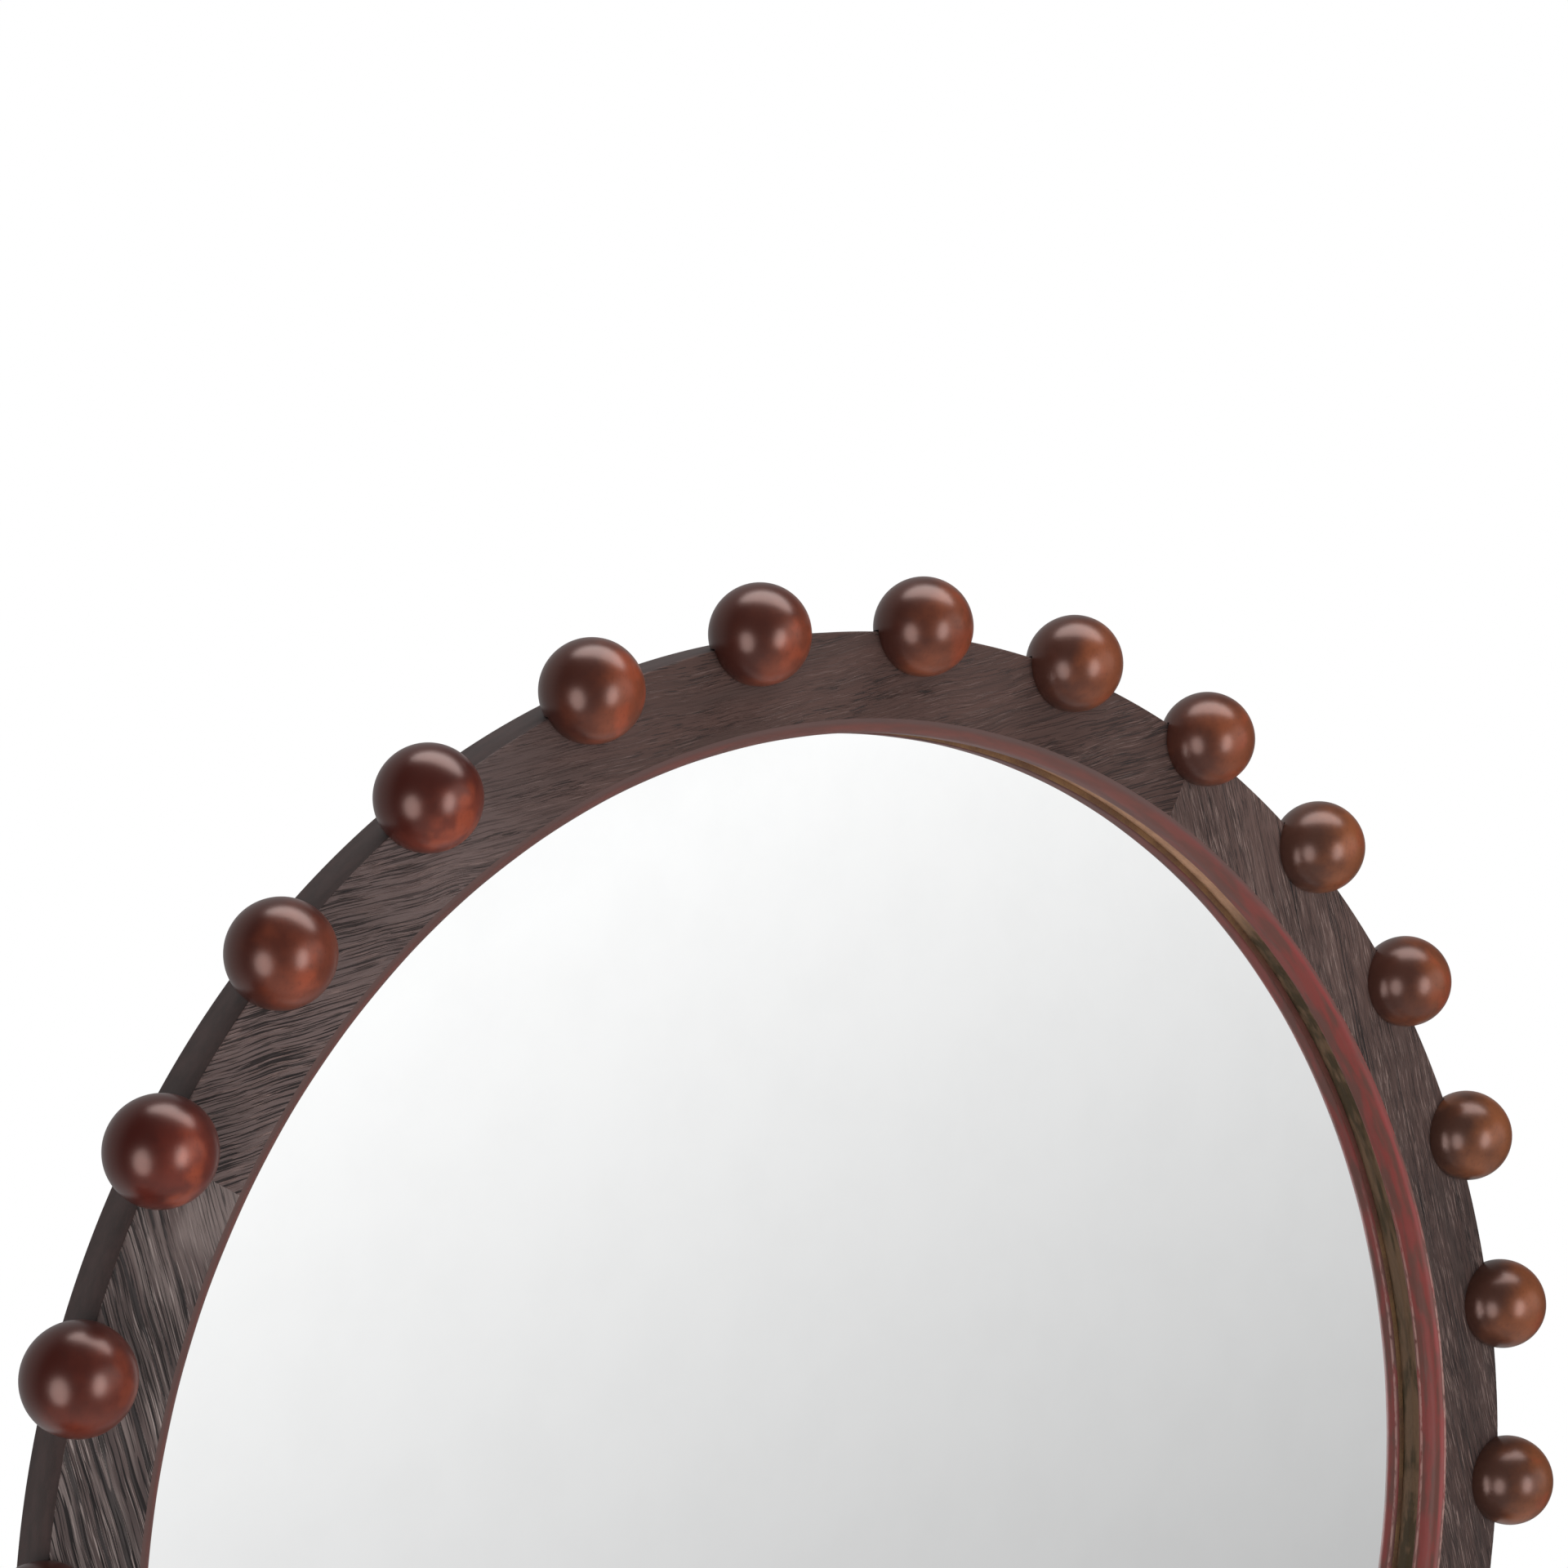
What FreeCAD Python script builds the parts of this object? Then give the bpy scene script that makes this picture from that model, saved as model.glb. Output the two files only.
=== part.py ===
import FreeCAD, Part
import os
import re
import Sketcher

# Round wall mirror: a ring of four wood segments, 28 notched balls over its
# outer front edge, a rounded bead round the glass, and two swinging D-rings
# behind. X is to the right, Z is up and +Y points at the wall. The origin is
# the centre of the back, and the front face of the ring is at -ring_depth.

# Sizes in millimetres, angles in degrees
SIZES = (
    # Ring
    ("ring_outer_radius", 358.3),
    ("ring_depth", 25.0),
    ("face_width", 34.3),
    ("outer_edge", 0.8),
    ("back_edge", 1.0),
    ("face_edge", 0.5),
    ("segment_count", 4),
    ("joint_ball_steps", 2),
    # Bead round the opening
    ("bead_width", 5.6),
    ("bead_depth", 11.6),
    ("bead_sink", 0.3),
    ("bead_nose_depth", 6.5),
    ("bead_back_round", 0.8),
    ("bead_clearance", 0.25),
    ("lip_overhang", 3.0),
    # Glass, card and back panel
    ("glass_lap", 8.1),
    ("glass_clearance", 0.5),
    ("glass_thickness", 3.0),
    ("glass_polish", 0.5),
    ("card_thickness", 1.4),
    ("panel_lap", 12.0),
    ("panel_clearance", 0.5),
    ("panel_thickness", 3.0),
    # Balls
    ("ball_count", 28),
    ("ball_radius", 20.0),
    ("ball_overhang", 2.7),
    ("ball_standoff", 4.0),
    ("glue_gap", 0.1),
    # Dowels that carry the balls
    ("dowel_radius", 3.0),
    ("dowel_length", 24.0),
    ("dowel_inset", 7.0),
    ("dowel_clearance", 0.05),
    ("dowel_end_gap", 0.5),
    # Dowels across the segment joints
    ("joint_dowel_radius", 3.0),
    ("joint_dowel_length", 30.0),
    ("inner_dowel_inset", 15.0),
    ("inner_dowel_depth", 10.0),
    ("outer_dowel_inset", 9.0),
    ("outer_dowel_depth", 17.5),
    # Back panel screws
    ("panel_screw_count", 12),
    ("panel_screw_length", 12.0),
    ("panel_screw_radius", 1.5),
    ("panel_screw_head_radius", 3.0),
    ("panel_screw_rim", 0.3),
    ("panel_screw_tip", 3.0),
    ("panel_screw_slot_width", 0.9),
    ("panel_screw_slot_length", 3.4),
    ("panel_screw_slot_depth", 1.1),
    ("screw_clearance", 0.05),
    ("sink_clearance", 0.2),
    # Hanger strap and its ring
    ("hanger_ball_steps", 4.2),
    ("strap_width", 8.0),
    ("strap_thickness", 1.2),
    ("roll_opening_angle", 70.0),
    ("wire_radius", 1.0),
    ("ring_play", 0.3),
    ("ring_side_play", 0.8),
    ("ring_edge_gap", 0.6),
    ("ring_leg_length", 5.0),
    ("ring_corner_radius", 1.6),
    # Hanger screws
    ("hanger_screw_ring_gap", 3.4),
    ("hanger_screw_end_gap", 7.0),
    ("hanger_screw_spacing", 11.0),
    ("hanger_screw_length", 16.0),
    ("hanger_screw_radius", 1.6),
    ("hanger_screw_head_radius", 3.2),
    ("hanger_screw_head_height", 2.0),
    ("hanger_screw_rim", 0.8),
    ("hanger_screw_tip", 3.0),
    ("hanger_screw_slot_width", 1.0),
    ("hanger_screw_slot_length", 3.6),
    ("hanger_screw_slot_depth", 1.3),
    ("strap_hole_clearance", 0.2),
    # Wall bumpers
    ("bumper_ball_steps", 3),
    ("bumper_radius", 6.0),
    ("bumper_height", 6.5),
    ("bumper_edge", 1.5),
    # Overrun of every cut past the surface that it opens
    ("overrun", 1.0),
)

# Places and sizes that follow from the sizes above
PLACES = (
    ("full_turn", "360"),
    ("top_angle", "90"),
    ("ball_step", "full_turn / ball_count"),
    ("segment_angle", "full_turn / segment_count"),
    ("first_joint", "top_angle - joint_ball_steps * ball_step"),
    ("top_segment_start", "first_joint"),
    ("left_segment_start", "first_joint + segment_angle"),
    ("bottom_segment_start", "first_joint + 2 * segment_angle"),
    ("right_segment_start", "first_joint - segment_angle"),
    ("balls_in_segment", "ball_count / segment_count + 1"),
    ("face_level", "-ring_depth"),
    ("bead_outer_radius", "ring_outer_radius - face_width"),
    ("bead_inner_radius", "bead_outer_radius - bead_width"),
    ("wall_radius", "bead_inner_radius + lip_overhang"),
    ("glass_radius", "wall_radius + glass_lap"),
    ("glass_rebate_radius", "glass_radius + glass_clearance"),
    ("panel_radius", "glass_rebate_radius + panel_lap"),
    ("panel_rebate_radius", "panel_radius + panel_clearance"),
    ("panel_level", "-panel_thickness"),
    ("card_level", "panel_level - card_thickness"),
    ("glass_level", "card_level - glass_thickness"),
    ("glass_polish_radius", "glass_radius - glass_polish"),
    ("glass_polish_level", "glass_level + glass_polish"),
    ("bead_back_level", "face_level + bead_depth"),
    ("face_start_radius", "bead_outer_radius + face_edge"),
    ("face_start_level", "face_level + face_edge"),
    ("face_end_radius", "ring_outer_radius - outer_edge"),
    ("outer_wall_level", "face_level + outer_edge"),
    ("back_edge_level", "-back_edge"),
    ("back_edge_radius", "ring_outer_radius - back_edge"),
    # Bead section
    ("bead_fit_radius", "bead_outer_radius - bead_clearance"),
    ("bead_front_level", "face_level + bead_sink"),
    ("bead_nose_level", "face_level + bead_nose_depth"),
    ("bead_fit_width", "bead_width - bead_clearance"),
    ("bead_nose_rise", "bead_nose_depth - bead_sink"),
    ("bead_nose_radius",
     "(bead_fit_width * bead_fit_width + bead_nose_rise * bead_nose_rise) / (2 * bead_fit_width)"),
    ("bead_nose_centre", "bead_inner_radius + bead_nose_radius"),
    ("bead_round_level", "bead_back_level - bead_back_round"),
    ("bead_round_radius", "bead_inner_radius + bead_back_round"),
    # Balls and their dowels
    ("ball_circle_radius", "ring_outer_radius + ball_overhang"),
    ("ball_level", "face_level - ball_standoff"),
    ("notch_radius", "ring_outer_radius + glue_gap"),
    ("dowel_half", "dowel_length / 2"),
    ("dowel_level", "face_level + dowel_inset"),
    ("dowel_start_radius", "ring_outer_radius - dowel_half"),
    ("dowel_hole_radius", "dowel_radius + dowel_clearance"),
    ("dowel_hole_start", "dowel_start_radius - dowel_end_gap"),
    ("dowel_hole_length", "dowel_length + 2 * dowel_end_gap"),
    ("ring_hole_length", "ring_outer_radius - dowel_hole_start + overrun"),
    ("notch_size", "2 * ball_radius"),
    ("notch_height", "2 * ball_radius + 2 * overrun"),
    # Joint dowels
    ("joint_half", "joint_dowel_length / 2"),
    ("joint_hole_radius", "joint_dowel_radius + dowel_clearance"),
    ("joint_hole_depth", "joint_half + dowel_end_gap"),
    ("inner_dowel_radius", "bead_outer_radius + inner_dowel_inset"),
    ("inner_dowel_level", "face_level + inner_dowel_depth"),
    ("outer_dowel_radius", "ring_outer_radius - outer_dowel_inset"),
    ("outer_dowel_level", "face_level + outer_dowel_depth"),
    # Panel screws
    ("panel_screw_circle", "(glass_rebate_radius + panel_rebate_radius) / 2"),
    ("panel_screw_step", "full_turn / panel_screw_count"),
    ("screws_in_segment", "panel_screw_count / segment_count"),
    ("panel_screw_first", "panel_screw_step / 2"),
    ("panel_screw_sweep", "segment_angle - panel_screw_step"),
    ("panel_screw_turn", "first_joint + panel_screw_first"),
    ("panel_pilot_depth", "panel_screw_length + dowel_end_gap"),
    ("panel_through_level", "-(panel_thickness + overrun)"),
    ("panel_screw_hole", "panel_screw_radius + screw_clearance"),
    ("panel_sink_radius", "panel_screw_head_radius + sink_clearance"),
    ("panel_sink_edge", "panel_screw_circle + panel_sink_radius"),
    ("panel_sink_inner", "panel_screw_circle + panel_screw_hole"),
    ("panel_sink_level", "-(panel_sink_radius - panel_screw_hole + panel_screw_rim)"),
    ("panel_rim_level", "-panel_screw_rim"),
    ("panel_head_edge", "panel_screw_circle + panel_screw_head_radius"),
    ("panel_shank_edge", "panel_screw_circle + panel_screw_radius"),
    ("panel_neck_level", "-(panel_screw_head_radius - panel_screw_radius + panel_screw_rim)"),
    ("panel_tip_level", "-(panel_screw_length - panel_screw_tip)"),
    ("panel_point_level", "-panel_screw_length"),
    ("panel_slot_half", "panel_screw_slot_width / 2"),
    ("panel_slot_reach", "panel_screw_slot_length / 2"),
    # Hangers
    ("hanger_angle", "top_angle - hanger_ball_steps * ball_step"),
    ("strap_half_width", "strap_width / 2"),
    ("ring_bow_radius", "strap_half_width + ring_side_play + wire_radius"),
    ("hanger_radius", "panel_rebate_radius + ring_edge_gap + wire_radius + ring_bow_radius"),
    ("ring_bar_half", "ring_bow_radius - ring_corner_radius"),
    ("ring_leg_end", "ring_corner_radius + ring_leg_length"),
    ("ring_reach", "ring_leg_end + ring_bow_radius + wire_radius"),
    ("hanger_screw_first", "ring_reach + hanger_screw_ring_gap + hanger_screw_head_radius"),
    ("hanger_screw_second", "hanger_screw_first + hanger_screw_spacing"),
    ("strap_length", "hanger_screw_second + hanger_screw_end_gap"),
    ("hanger_rise", "strap_length / 2"),
    ("roll_inner_radius", "wire_radius + ring_play"),
    ("roll_outer_radius", "roll_inner_radius + strap_thickness"),
    ("strap_end_centre", "strap_length - strap_half_width"),
    ("roll_stop_angle", "full_turn - top_angle - roll_opening_angle"),
    ("roll_outer_stop_z", "roll_outer_radius * cos(roll_stop_angle)"),
    ("roll_outer_stop_y", "roll_outer_radius + roll_outer_radius * sin(roll_stop_angle)"),
    ("roll_inner_stop_z", "roll_inner_radius * cos(roll_stop_angle)"),
    ("roll_inner_stop_y", "roll_outer_radius + roll_inner_radius * sin(roll_stop_angle)"),
    # Hanger screws
    ("hanger_hole_radius", "hanger_screw_radius + strap_hole_clearance"),
    ("hanger_pilot_radius", "hanger_screw_radius + screw_clearance"),
    ("hanger_pilot_depth", "hanger_screw_length + dowel_end_gap"),
    ("hanger_rim_level", "strap_thickness + hanger_screw_rim"),
    ("hanger_head_level", "strap_thickness + hanger_screw_head_height"),
    ("hanger_head_flat", "hanger_screw_head_radius - hanger_screw_head_height + hanger_screw_rim"),
    ("hanger_tip_level", "-(hanger_screw_length - hanger_screw_tip)"),
    ("hanger_point_level", "-hanger_screw_length"),
    ("hanger_slot_half", "hanger_screw_slot_width / 2"),
    ("hanger_slot_reach", "hanger_screw_slot_length / 2"),
    ("strap_through", "strap_thickness + overrun"),
    ("hanger_first_place", "hanger_rise - hanger_screw_first"),
    ("hanger_second_place", "hanger_rise - hanger_screw_second"),
    ("hanger_x", "hanger_radius * cos(hanger_angle) - hanger_rise * sin(hanger_angle)"),
    ("hanger_z", "hanger_radius * sin(hanger_angle) + hanger_rise * cos(hanger_angle)"),
    ("screw_x", "hanger_x + hanger_screw_first * sin(hanger_angle)"),
    ("screw_z", "hanger_z - hanger_screw_first * cos(hanger_angle)"),
    ("left_hanger_turn", "full_turn / 2 - hanger_angle - first_joint"),
    ("right_hanger_turn", "hanger_angle - first_joint + segment_angle"),
    # Bumpers
    ("bumper_angle", "top_angle - bumper_ball_steps * ball_step"),
    ("bumper_circle", "(ring_outer_radius + panel_rebate_radius) / 2"),
    ("bumper_flat_radius", "bumper_radius - bumper_edge"),
    ("bumper_edge_level", "bumper_height - bumper_edge"),
)

FUNCTIONS = ("cos", "sin", "sqrt")

doc = FreeCAD.newDocument("round_mirror")
sizes = doc.addObject("Spreadsheet::Sheet", "Sizes")
places = doc.addObject("Spreadsheet::Sheet", "Places")
SIZE_NAMES = {name for name, _ in SIZES}
PLACE_NAMES = {name for name, _ in PLACES}


def bound(text, inside=None):
    """Writes an expression with the sheet of every name in it."""
    def sheet_name(match):
        word = match.group(0)
        if word in SIZE_NAMES:
            return "Sizes." + word
        if word in PLACE_NAMES:
            return word if inside is places else "Places." + word
        if word in FUNCTIONS:
            return word
        raise ValueError("unknown size " + word)
    return re.sub(r"[a-z][a-z0-9_]*", sheet_name, text)


for row, (name, number) in enumerate(SIZES, start=1):
    sizes.set("A%d" % row, name)
    sizes.set("B%d" % row, str(number))
    sizes.setAlias("B%d" % row, name)
doc.recompute()
for row, (name, formula) in enumerate(PLACES, start=1):
    places.set("A%d" % row, name)
    places.set("B%d" % row, "=" + bound(formula, places))
    places.setAlias("B%d" % row, name)
    places.recompute()
doc.recompute()


def value(text):
    """The present number of a size or place, with an optional minus sign."""
    sign = -1.0 if text.startswith("-") else 1.0
    name = text.lstrip("-")
    if name == "0":
        return 0.0
    sheet = sizes if name in SIZE_NAMES else places
    return sign * float(sheet.get(name))


def origin_feature(body, role):
    for feature in body.Origin.OriginFeatures:
        if feature.Role == role:
            return feature
    raise ValueError("no origin feature " + role)


def new_body(label):
    body = doc.addObject("PartDesign::Body", label)
    body.Label = label
    body.AllowCompound = True
    return body


def new_sketch(body, label, role):
    sketch = body.newObject("Sketcher::SketchObject", label)
    sketch.AttachmentSupport = [(origin_feature(body, role), "")]
    sketch.MapMode = "FlatFace"
    return sketch


def hold(sketch, kind, index, point, text):
    """Binds one coordinate of a sketch point to a size."""
    number = value(text)
    if text == "0":
        axis = -2 if kind == "DistanceX" else -1
        sketch.addConstraint(Sketcher.Constraint("PointOnObject", index, point, axis))
        return
    if number >= 0:
        made = sketch.addConstraint(Sketcher.Constraint(kind, -1, 1, index, point, number))
        sketch.setExpression("Constraints[%d]" % made, bound(text))
        return
    made = sketch.addConstraint(Sketcher.Constraint(kind, index, point, -1, 1, -number))
    sketch.setExpression("Constraints[%d]" % made, "-(" + bound(text) + ")")


def outline(sketch, corners):
    """Draws a closed outline. A corner is (x, y), and where the side that
    leaves it is an arc, (x, y, centre_x, centre_y, held_axis, way)."""
    count = len(corners)
    for index, corner in enumerate(corners):
        following = corners[(index + 1) % count]
        start = FreeCAD.Vector(value(corner[0]), value(corner[1]), 0)
        end = FreeCAD.Vector(value(following[0]), value(following[1]), 0)
        if len(corner) == 2:
            sketch.addGeometry(Part.LineSegment(start, end), False)
            continue
        centre = FreeCAD.Vector(value(corner[2]), value(corner[3]), 0)
        along = start.sub(centre)
        across = end.sub(centre)
        turn = along.cross(across).z
        middle = along.add(across)
        if middle.Length < along.Length / 1000:
            middle = FreeCAD.Vector(-along.y, along.x, 0) * corner[5]
        elif turn * corner[5] < 0:
            middle = middle * -1
        middle.normalize()
        through = centre.add(middle * along.Length)
        sketch.addGeometry(Part.Arc(start, through, end), False)
    ends = []
    for index, corner in enumerate(corners):
        way = 1 if len(corner) == 2 else corner[5]
        ends.append((1, 2) if way > 0 else (2, 1))
    for index in range(count):
        after = (index + 1) % count
        sketch.addConstraint(Sketcher.Constraint(
            "Coincident", index, ends[index][1], after, ends[after][0]))
    for index, corner in enumerate(corners):
        hold(sketch, "DistanceX", index, ends[index][0], corner[0])
        hold(sketch, "DistanceY", index, ends[index][0], corner[1])
        if len(corner) > 2:
            kind = "DistanceX" if corner[4] == "x" else "DistanceY"
            hold(sketch, kind, index, 3, corner[2] if corner[4] == "x" else corner[3])


def circle(sketch, x, y, radius):
    centre = FreeCAD.Vector(value(x), value(y), 0)
    index = sketch.addGeometry(Part.Circle(centre, FreeCAD.Vector(0, 0, 1), value(radius)), False)
    hold(sketch, "DistanceX", index, 3, x)
    hold(sketch, "DistanceY", index, 3, y)
    made = sketch.addConstraint(Sketcher.Constraint("Radius", index, value(radius)))
    sketch.setExpression("Constraints[%d]" % made, bound(radius))


def cross(sketch, x, half, reach):
    """Draws the twelve corners of a cross recess centred at (x, 0)."""
    base = value(x)
    near = value(half)
    far = value(reach)
    steps = ((far, near), (near, near), (near, far), (-near, far), (-near, near), (-far, near),
             (-far, -near), (-near, -near), (-near, -far), (near, -far), (near, -near), (far, -near))
    names = {near: half, far: reach}
    for index, (right, up) in enumerate(steps):
        after = steps[(index + 1) % len(steps)]
        sketch.addGeometry(Part.LineSegment(FreeCAD.Vector(base + right, up, 0),
                                            FreeCAD.Vector(base + after[0], after[1], 0)), False)
    for index in range(len(steps)):
        sketch.addConstraint(Sketcher.Constraint(
            "Coincident", index, 2, (index + 1) % len(steps), 1))
    for index, (right, up) in enumerate(steps):
        sign = "+" if right > 0 else "-"
        across = Sketcher.Constraint("DistanceX", -1, 1, index, 1, base + right)
        if base + right < 0:
            across = Sketcher.Constraint("DistanceX", index, 1, -1, 1, -base - right)
        made = sketch.addConstraint(across)
        start = "" if x == "0" else bound(x)
        text = start + " " + sign + " " + bound(names[abs(right)])
        if base + right < 0:
            text = "-(" + text + ")"
        sketch.setExpression("Constraints[%d]" % made, text)
        hold(sketch, "DistanceY", index, 1, names[abs(up)] if up > 0 else "-" + names[abs(up)])


def revolve(body, label, sketch, sweep, axis="V_Axis", kind="PartDesign::Revolution"):
    made = body.newObject(kind, label)
    made.Profile = sketch
    made.ReferenceAxis = (sketch, [axis])
    made.Angle = value(sweep)
    made.setExpression("Angle", bound(sweep))
    sketch.Visibility = False
    doc.recompute()
    return made


def extrude(body, kind, label, sketch, length, reverse=False, middle=False):
    made = body.newObject(kind, label)
    made.Profile = sketch
    made.Length = value(length)
    made.setExpression("Length", bound(length))
    made.Reversed = reverse
    made.Midplane = middle
    sketch.Visibility = False
    doc.recompute()
    return made


def polar(body, label, originals, sweep, copies, reverse=False):
    made = body.newObject("PartDesign::PolarPattern", label)
    made.Originals = originals
    made.Axis = (origin_feature(body, "Y_Axis"), [""])
    made.Angle = value(sweep)
    made.setExpression("Angle", bound(sweep))
    made.Occurrences = int(round(value(copies)))
    made.setExpression("Occurrences", bound(copies))
    made.Reversed = reverse
    body.Tip = made
    doc.recompute()
    return made


def turned(thing, angle):
    """Turns a piece from the X axis towards Z by a bound angle."""
    thing.Placement = FreeCAD.Placement(FreeCAD.Vector(0, 0, 0),
                                        FreeCAD.Rotation(FreeCAD.Vector(0, -1, 0), 0))
    thing.setExpression("Placement.Rotation.Angle", bound(angle))


def cut_smaller(body, before, what):
    """Every cut has to take something away."""
    after = body.Shape.Volume
    if not after < before:
        raise ValueError(what + " took nothing away")
    return after


nodes = []


# Ring segments: one section turned through a quarter, then drilled

def ring_segment(label, angle_text, hanger_offset=None, hanger_holes=()):
    body = new_body(label)
    section = new_sketch(body, label + "_section", "XY_Plane")
    outline(section, (
        ("face_start_radius", "face_level"),
        ("face_end_radius", "face_level"),
        ("ring_outer_radius", "outer_wall_level"),
        ("ring_outer_radius", "back_edge_level"),
        ("back_edge_radius", "0"),
        ("panel_rebate_radius", "0"),
        ("panel_rebate_radius", "panel_level"),
        ("glass_rebate_radius", "panel_level"),
        ("glass_rebate_radius", "glass_level"),
        ("wall_radius", "glass_level"),
        ("wall_radius", "bead_back_level"),
        ("bead_outer_radius", "bead_back_level"),
        ("bead_outer_radius", "face_start_level"),
    ))
    turn = revolve(body, label + "_turned", section, "segment_angle")
    turn.Reversed = True
    doc.recompute()
    volume = body.Shape.Volume

    ball_hole = new_sketch(body, label + "_ball_hole", "YZ_Plane")
    ball_hole.AttachmentOffset = FreeCAD.Placement(
        FreeCAD.Vector(0, 0, value("dowel_hole_start")), FreeCAD.Rotation())
    ball_hole.setExpression("AttachmentOffset.Base.z", bound("dowel_hole_start"))
    circle(ball_hole, "dowel_level", "0", "dowel_hole_radius")
    ball_drill = extrude(body, "PartDesign::Pocket", label + "_ball_drill", ball_hole,
                         "ring_hole_length", reverse=True)
    volume = cut_smaller(body, volume, "ball hole")
    polar(body, label + "_ball_holes", [ball_drill], "segment_angle", "balls_in_segment", reverse=True)
    volume = cut_smaller(body, volume, "ball holes")

    first_end = new_sketch(body, label + "_first_end", "XY_Plane")
    circle(first_end, "inner_dowel_radius", "inner_dowel_level", "joint_hole_radius")
    circle(first_end, "outer_dowel_radius", "outer_dowel_level", "joint_hole_radius")
    extrude(body, "PartDesign::Pocket", label + "_first_end_holes", first_end,
            "joint_hole_depth", reverse=True)
    volume = cut_smaller(body, volume, "first end holes")

    second_end = new_sketch(body, label + "_second_end", "YZ_Plane")
    circle(second_end, "inner_dowel_level", "inner_dowel_radius", "joint_hole_radius")
    circle(second_end, "outer_dowel_level", "outer_dowel_radius", "joint_hole_radius")
    extrude(body, "PartDesign::Pocket", label + "_second_end_holes", second_end,
            "joint_hole_depth", reverse=True)
    volume = cut_smaller(body, volume, "second end holes")

    pilot = new_sketch(body, label + "_panel_pilot", "XZ_Plane")
    pilot.AttachmentOffset = FreeCAD.Placement(
        FreeCAD.Vector(0, 0, 0), FreeCAD.Rotation(FreeCAD.Vector(0, 0, 1), value("panel_screw_first")))
    pilot.setExpression("AttachmentOffset.Rotation.Angle", bound("panel_screw_first"))
    circle(pilot, "panel_screw_circle", "0", "panel_screw_hole")
    pilot_drill = extrude(body, "PartDesign::Pocket", label + "_panel_drill", pilot,
                          "panel_pilot_depth", reverse=True)
    volume = cut_smaller(body, volume, "panel pilot")
    polar(body, label + "_panel_pilots", [pilot_drill], "panel_screw_sweep", "screws_in_segment",
          reverse=True)
    volume = cut_smaller(body, volume, "panel pilots")

    if hanger_offset:
        hanger = new_sketch(body, label + "_hanger_pilot", "XZ_Plane")
        hanger.AttachmentOffset = FreeCAD.Placement(
            FreeCAD.Vector(0, 0, 0), FreeCAD.Rotation(FreeCAD.Vector(0, 0, 1), value(hanger_offset)))
        hanger.setExpression("AttachmentOffset.Rotation.Angle", bound(hanger_offset))
        for place in hanger_holes:
            circle(hanger, "hanger_radius", place, "hanger_pilot_radius")
        extrude(body, "PartDesign::Pocket", label + "_hanger_drill", hanger,
                "hanger_pilot_depth", reverse=True)
        volume = cut_smaller(body, volume, "hanger pilots")

    turned(body, angle_text)
    doc.recompute()
    nodes.append(body)
    return body


ring_segment("ring_segment_top", "top_segment_start", "left_hanger_turn",
             ("-hanger_first_place", "-hanger_second_place"))
ring_segment("ring_segment_left", "left_segment_start")
ring_segment("ring_segment_bottom", "bottom_segment_start")
ring_segment("ring_segment_right", "right_segment_start", "right_hanger_turn",
             ("hanger_first_place", "hanger_second_place"))


# Round pieces turned about the ring's axis

def round_piece(label, corners):
    body = new_body(label)
    section = new_sketch(body, label + "_section", "XY_Plane")
    outline(section, corners)
    revolve(body, label + "_turned", section, "full_turn")
    nodes.append(body)
    return body


round_piece("inner_bead", (
    ("bead_fit_radius", "bead_front_level", "bead_nose_centre", "bead_nose_level", "y", -1),
    ("bead_inner_radius", "bead_nose_level"),
    ("bead_inner_radius", "bead_round_level", "bead_round_radius", "bead_round_level", "y", -1),
    ("bead_round_radius", "bead_back_level"),
    ("bead_fit_radius", "bead_back_level"),
))
round_piece("mirror_glass", (
    ("0", "glass_level"),
    ("glass_polish_radius", "glass_level"),
    ("glass_radius", "glass_polish_level"),
    ("glass_radius", "card_level"),
    ("0", "card_level"),
))
round_piece("backing_card", (
    ("0", "card_level"),
    ("glass_radius", "card_level"),
    ("glass_radius", "panel_level"),
    ("0", "panel_level"),
))

# Back panel with a countersunk hole for each screw
back_panel = round_piece("back_panel", (
    ("0", "panel_level"),
    ("panel_radius", "panel_level"),
    ("panel_radius", "0"),
    ("0", "0"),
))
panel_volume = back_panel.Shape.Volume
sink = new_sketch(back_panel, "back_panel_sink", "XY_Plane")
outline(sink, (
    ("panel_screw_circle", "overrun"),
    ("panel_screw_circle", "panel_through_level"),
    ("panel_sink_inner", "panel_through_level"),
    ("panel_sink_inner", "panel_sink_level"),
    ("panel_sink_edge", "-panel_screw_rim"),
    ("panel_sink_edge", "overrun"),
))
sink_axis = sink.addGeometry(Part.LineSegment(
    FreeCAD.Vector(value("panel_screw_circle"), value("panel_through_level"), 0),
    FreeCAD.Vector(value("panel_screw_circle"), value("overrun"), 0)), True)
sink.addConstraint(Sketcher.Constraint("Coincident", sink_axis, 1, 1, 1))
sink.addConstraint(Sketcher.Constraint("Coincident", sink_axis, 2, 0, 1))
sink_cut = revolve(back_panel, "back_panel_sink_cut", sink, "full_turn", "Axis0", "PartDesign::Groove")
panel_volume = cut_smaller(back_panel, panel_volume, "screw sink")
turned_sinks = polar(back_panel, "back_panel_sinks", [sink_cut], "full_turn", "panel_screw_count")
panel_volume = cut_smaller(back_panel, panel_volume, "screw sinks")
turned(back_panel, "panel_screw_turn")

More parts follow.
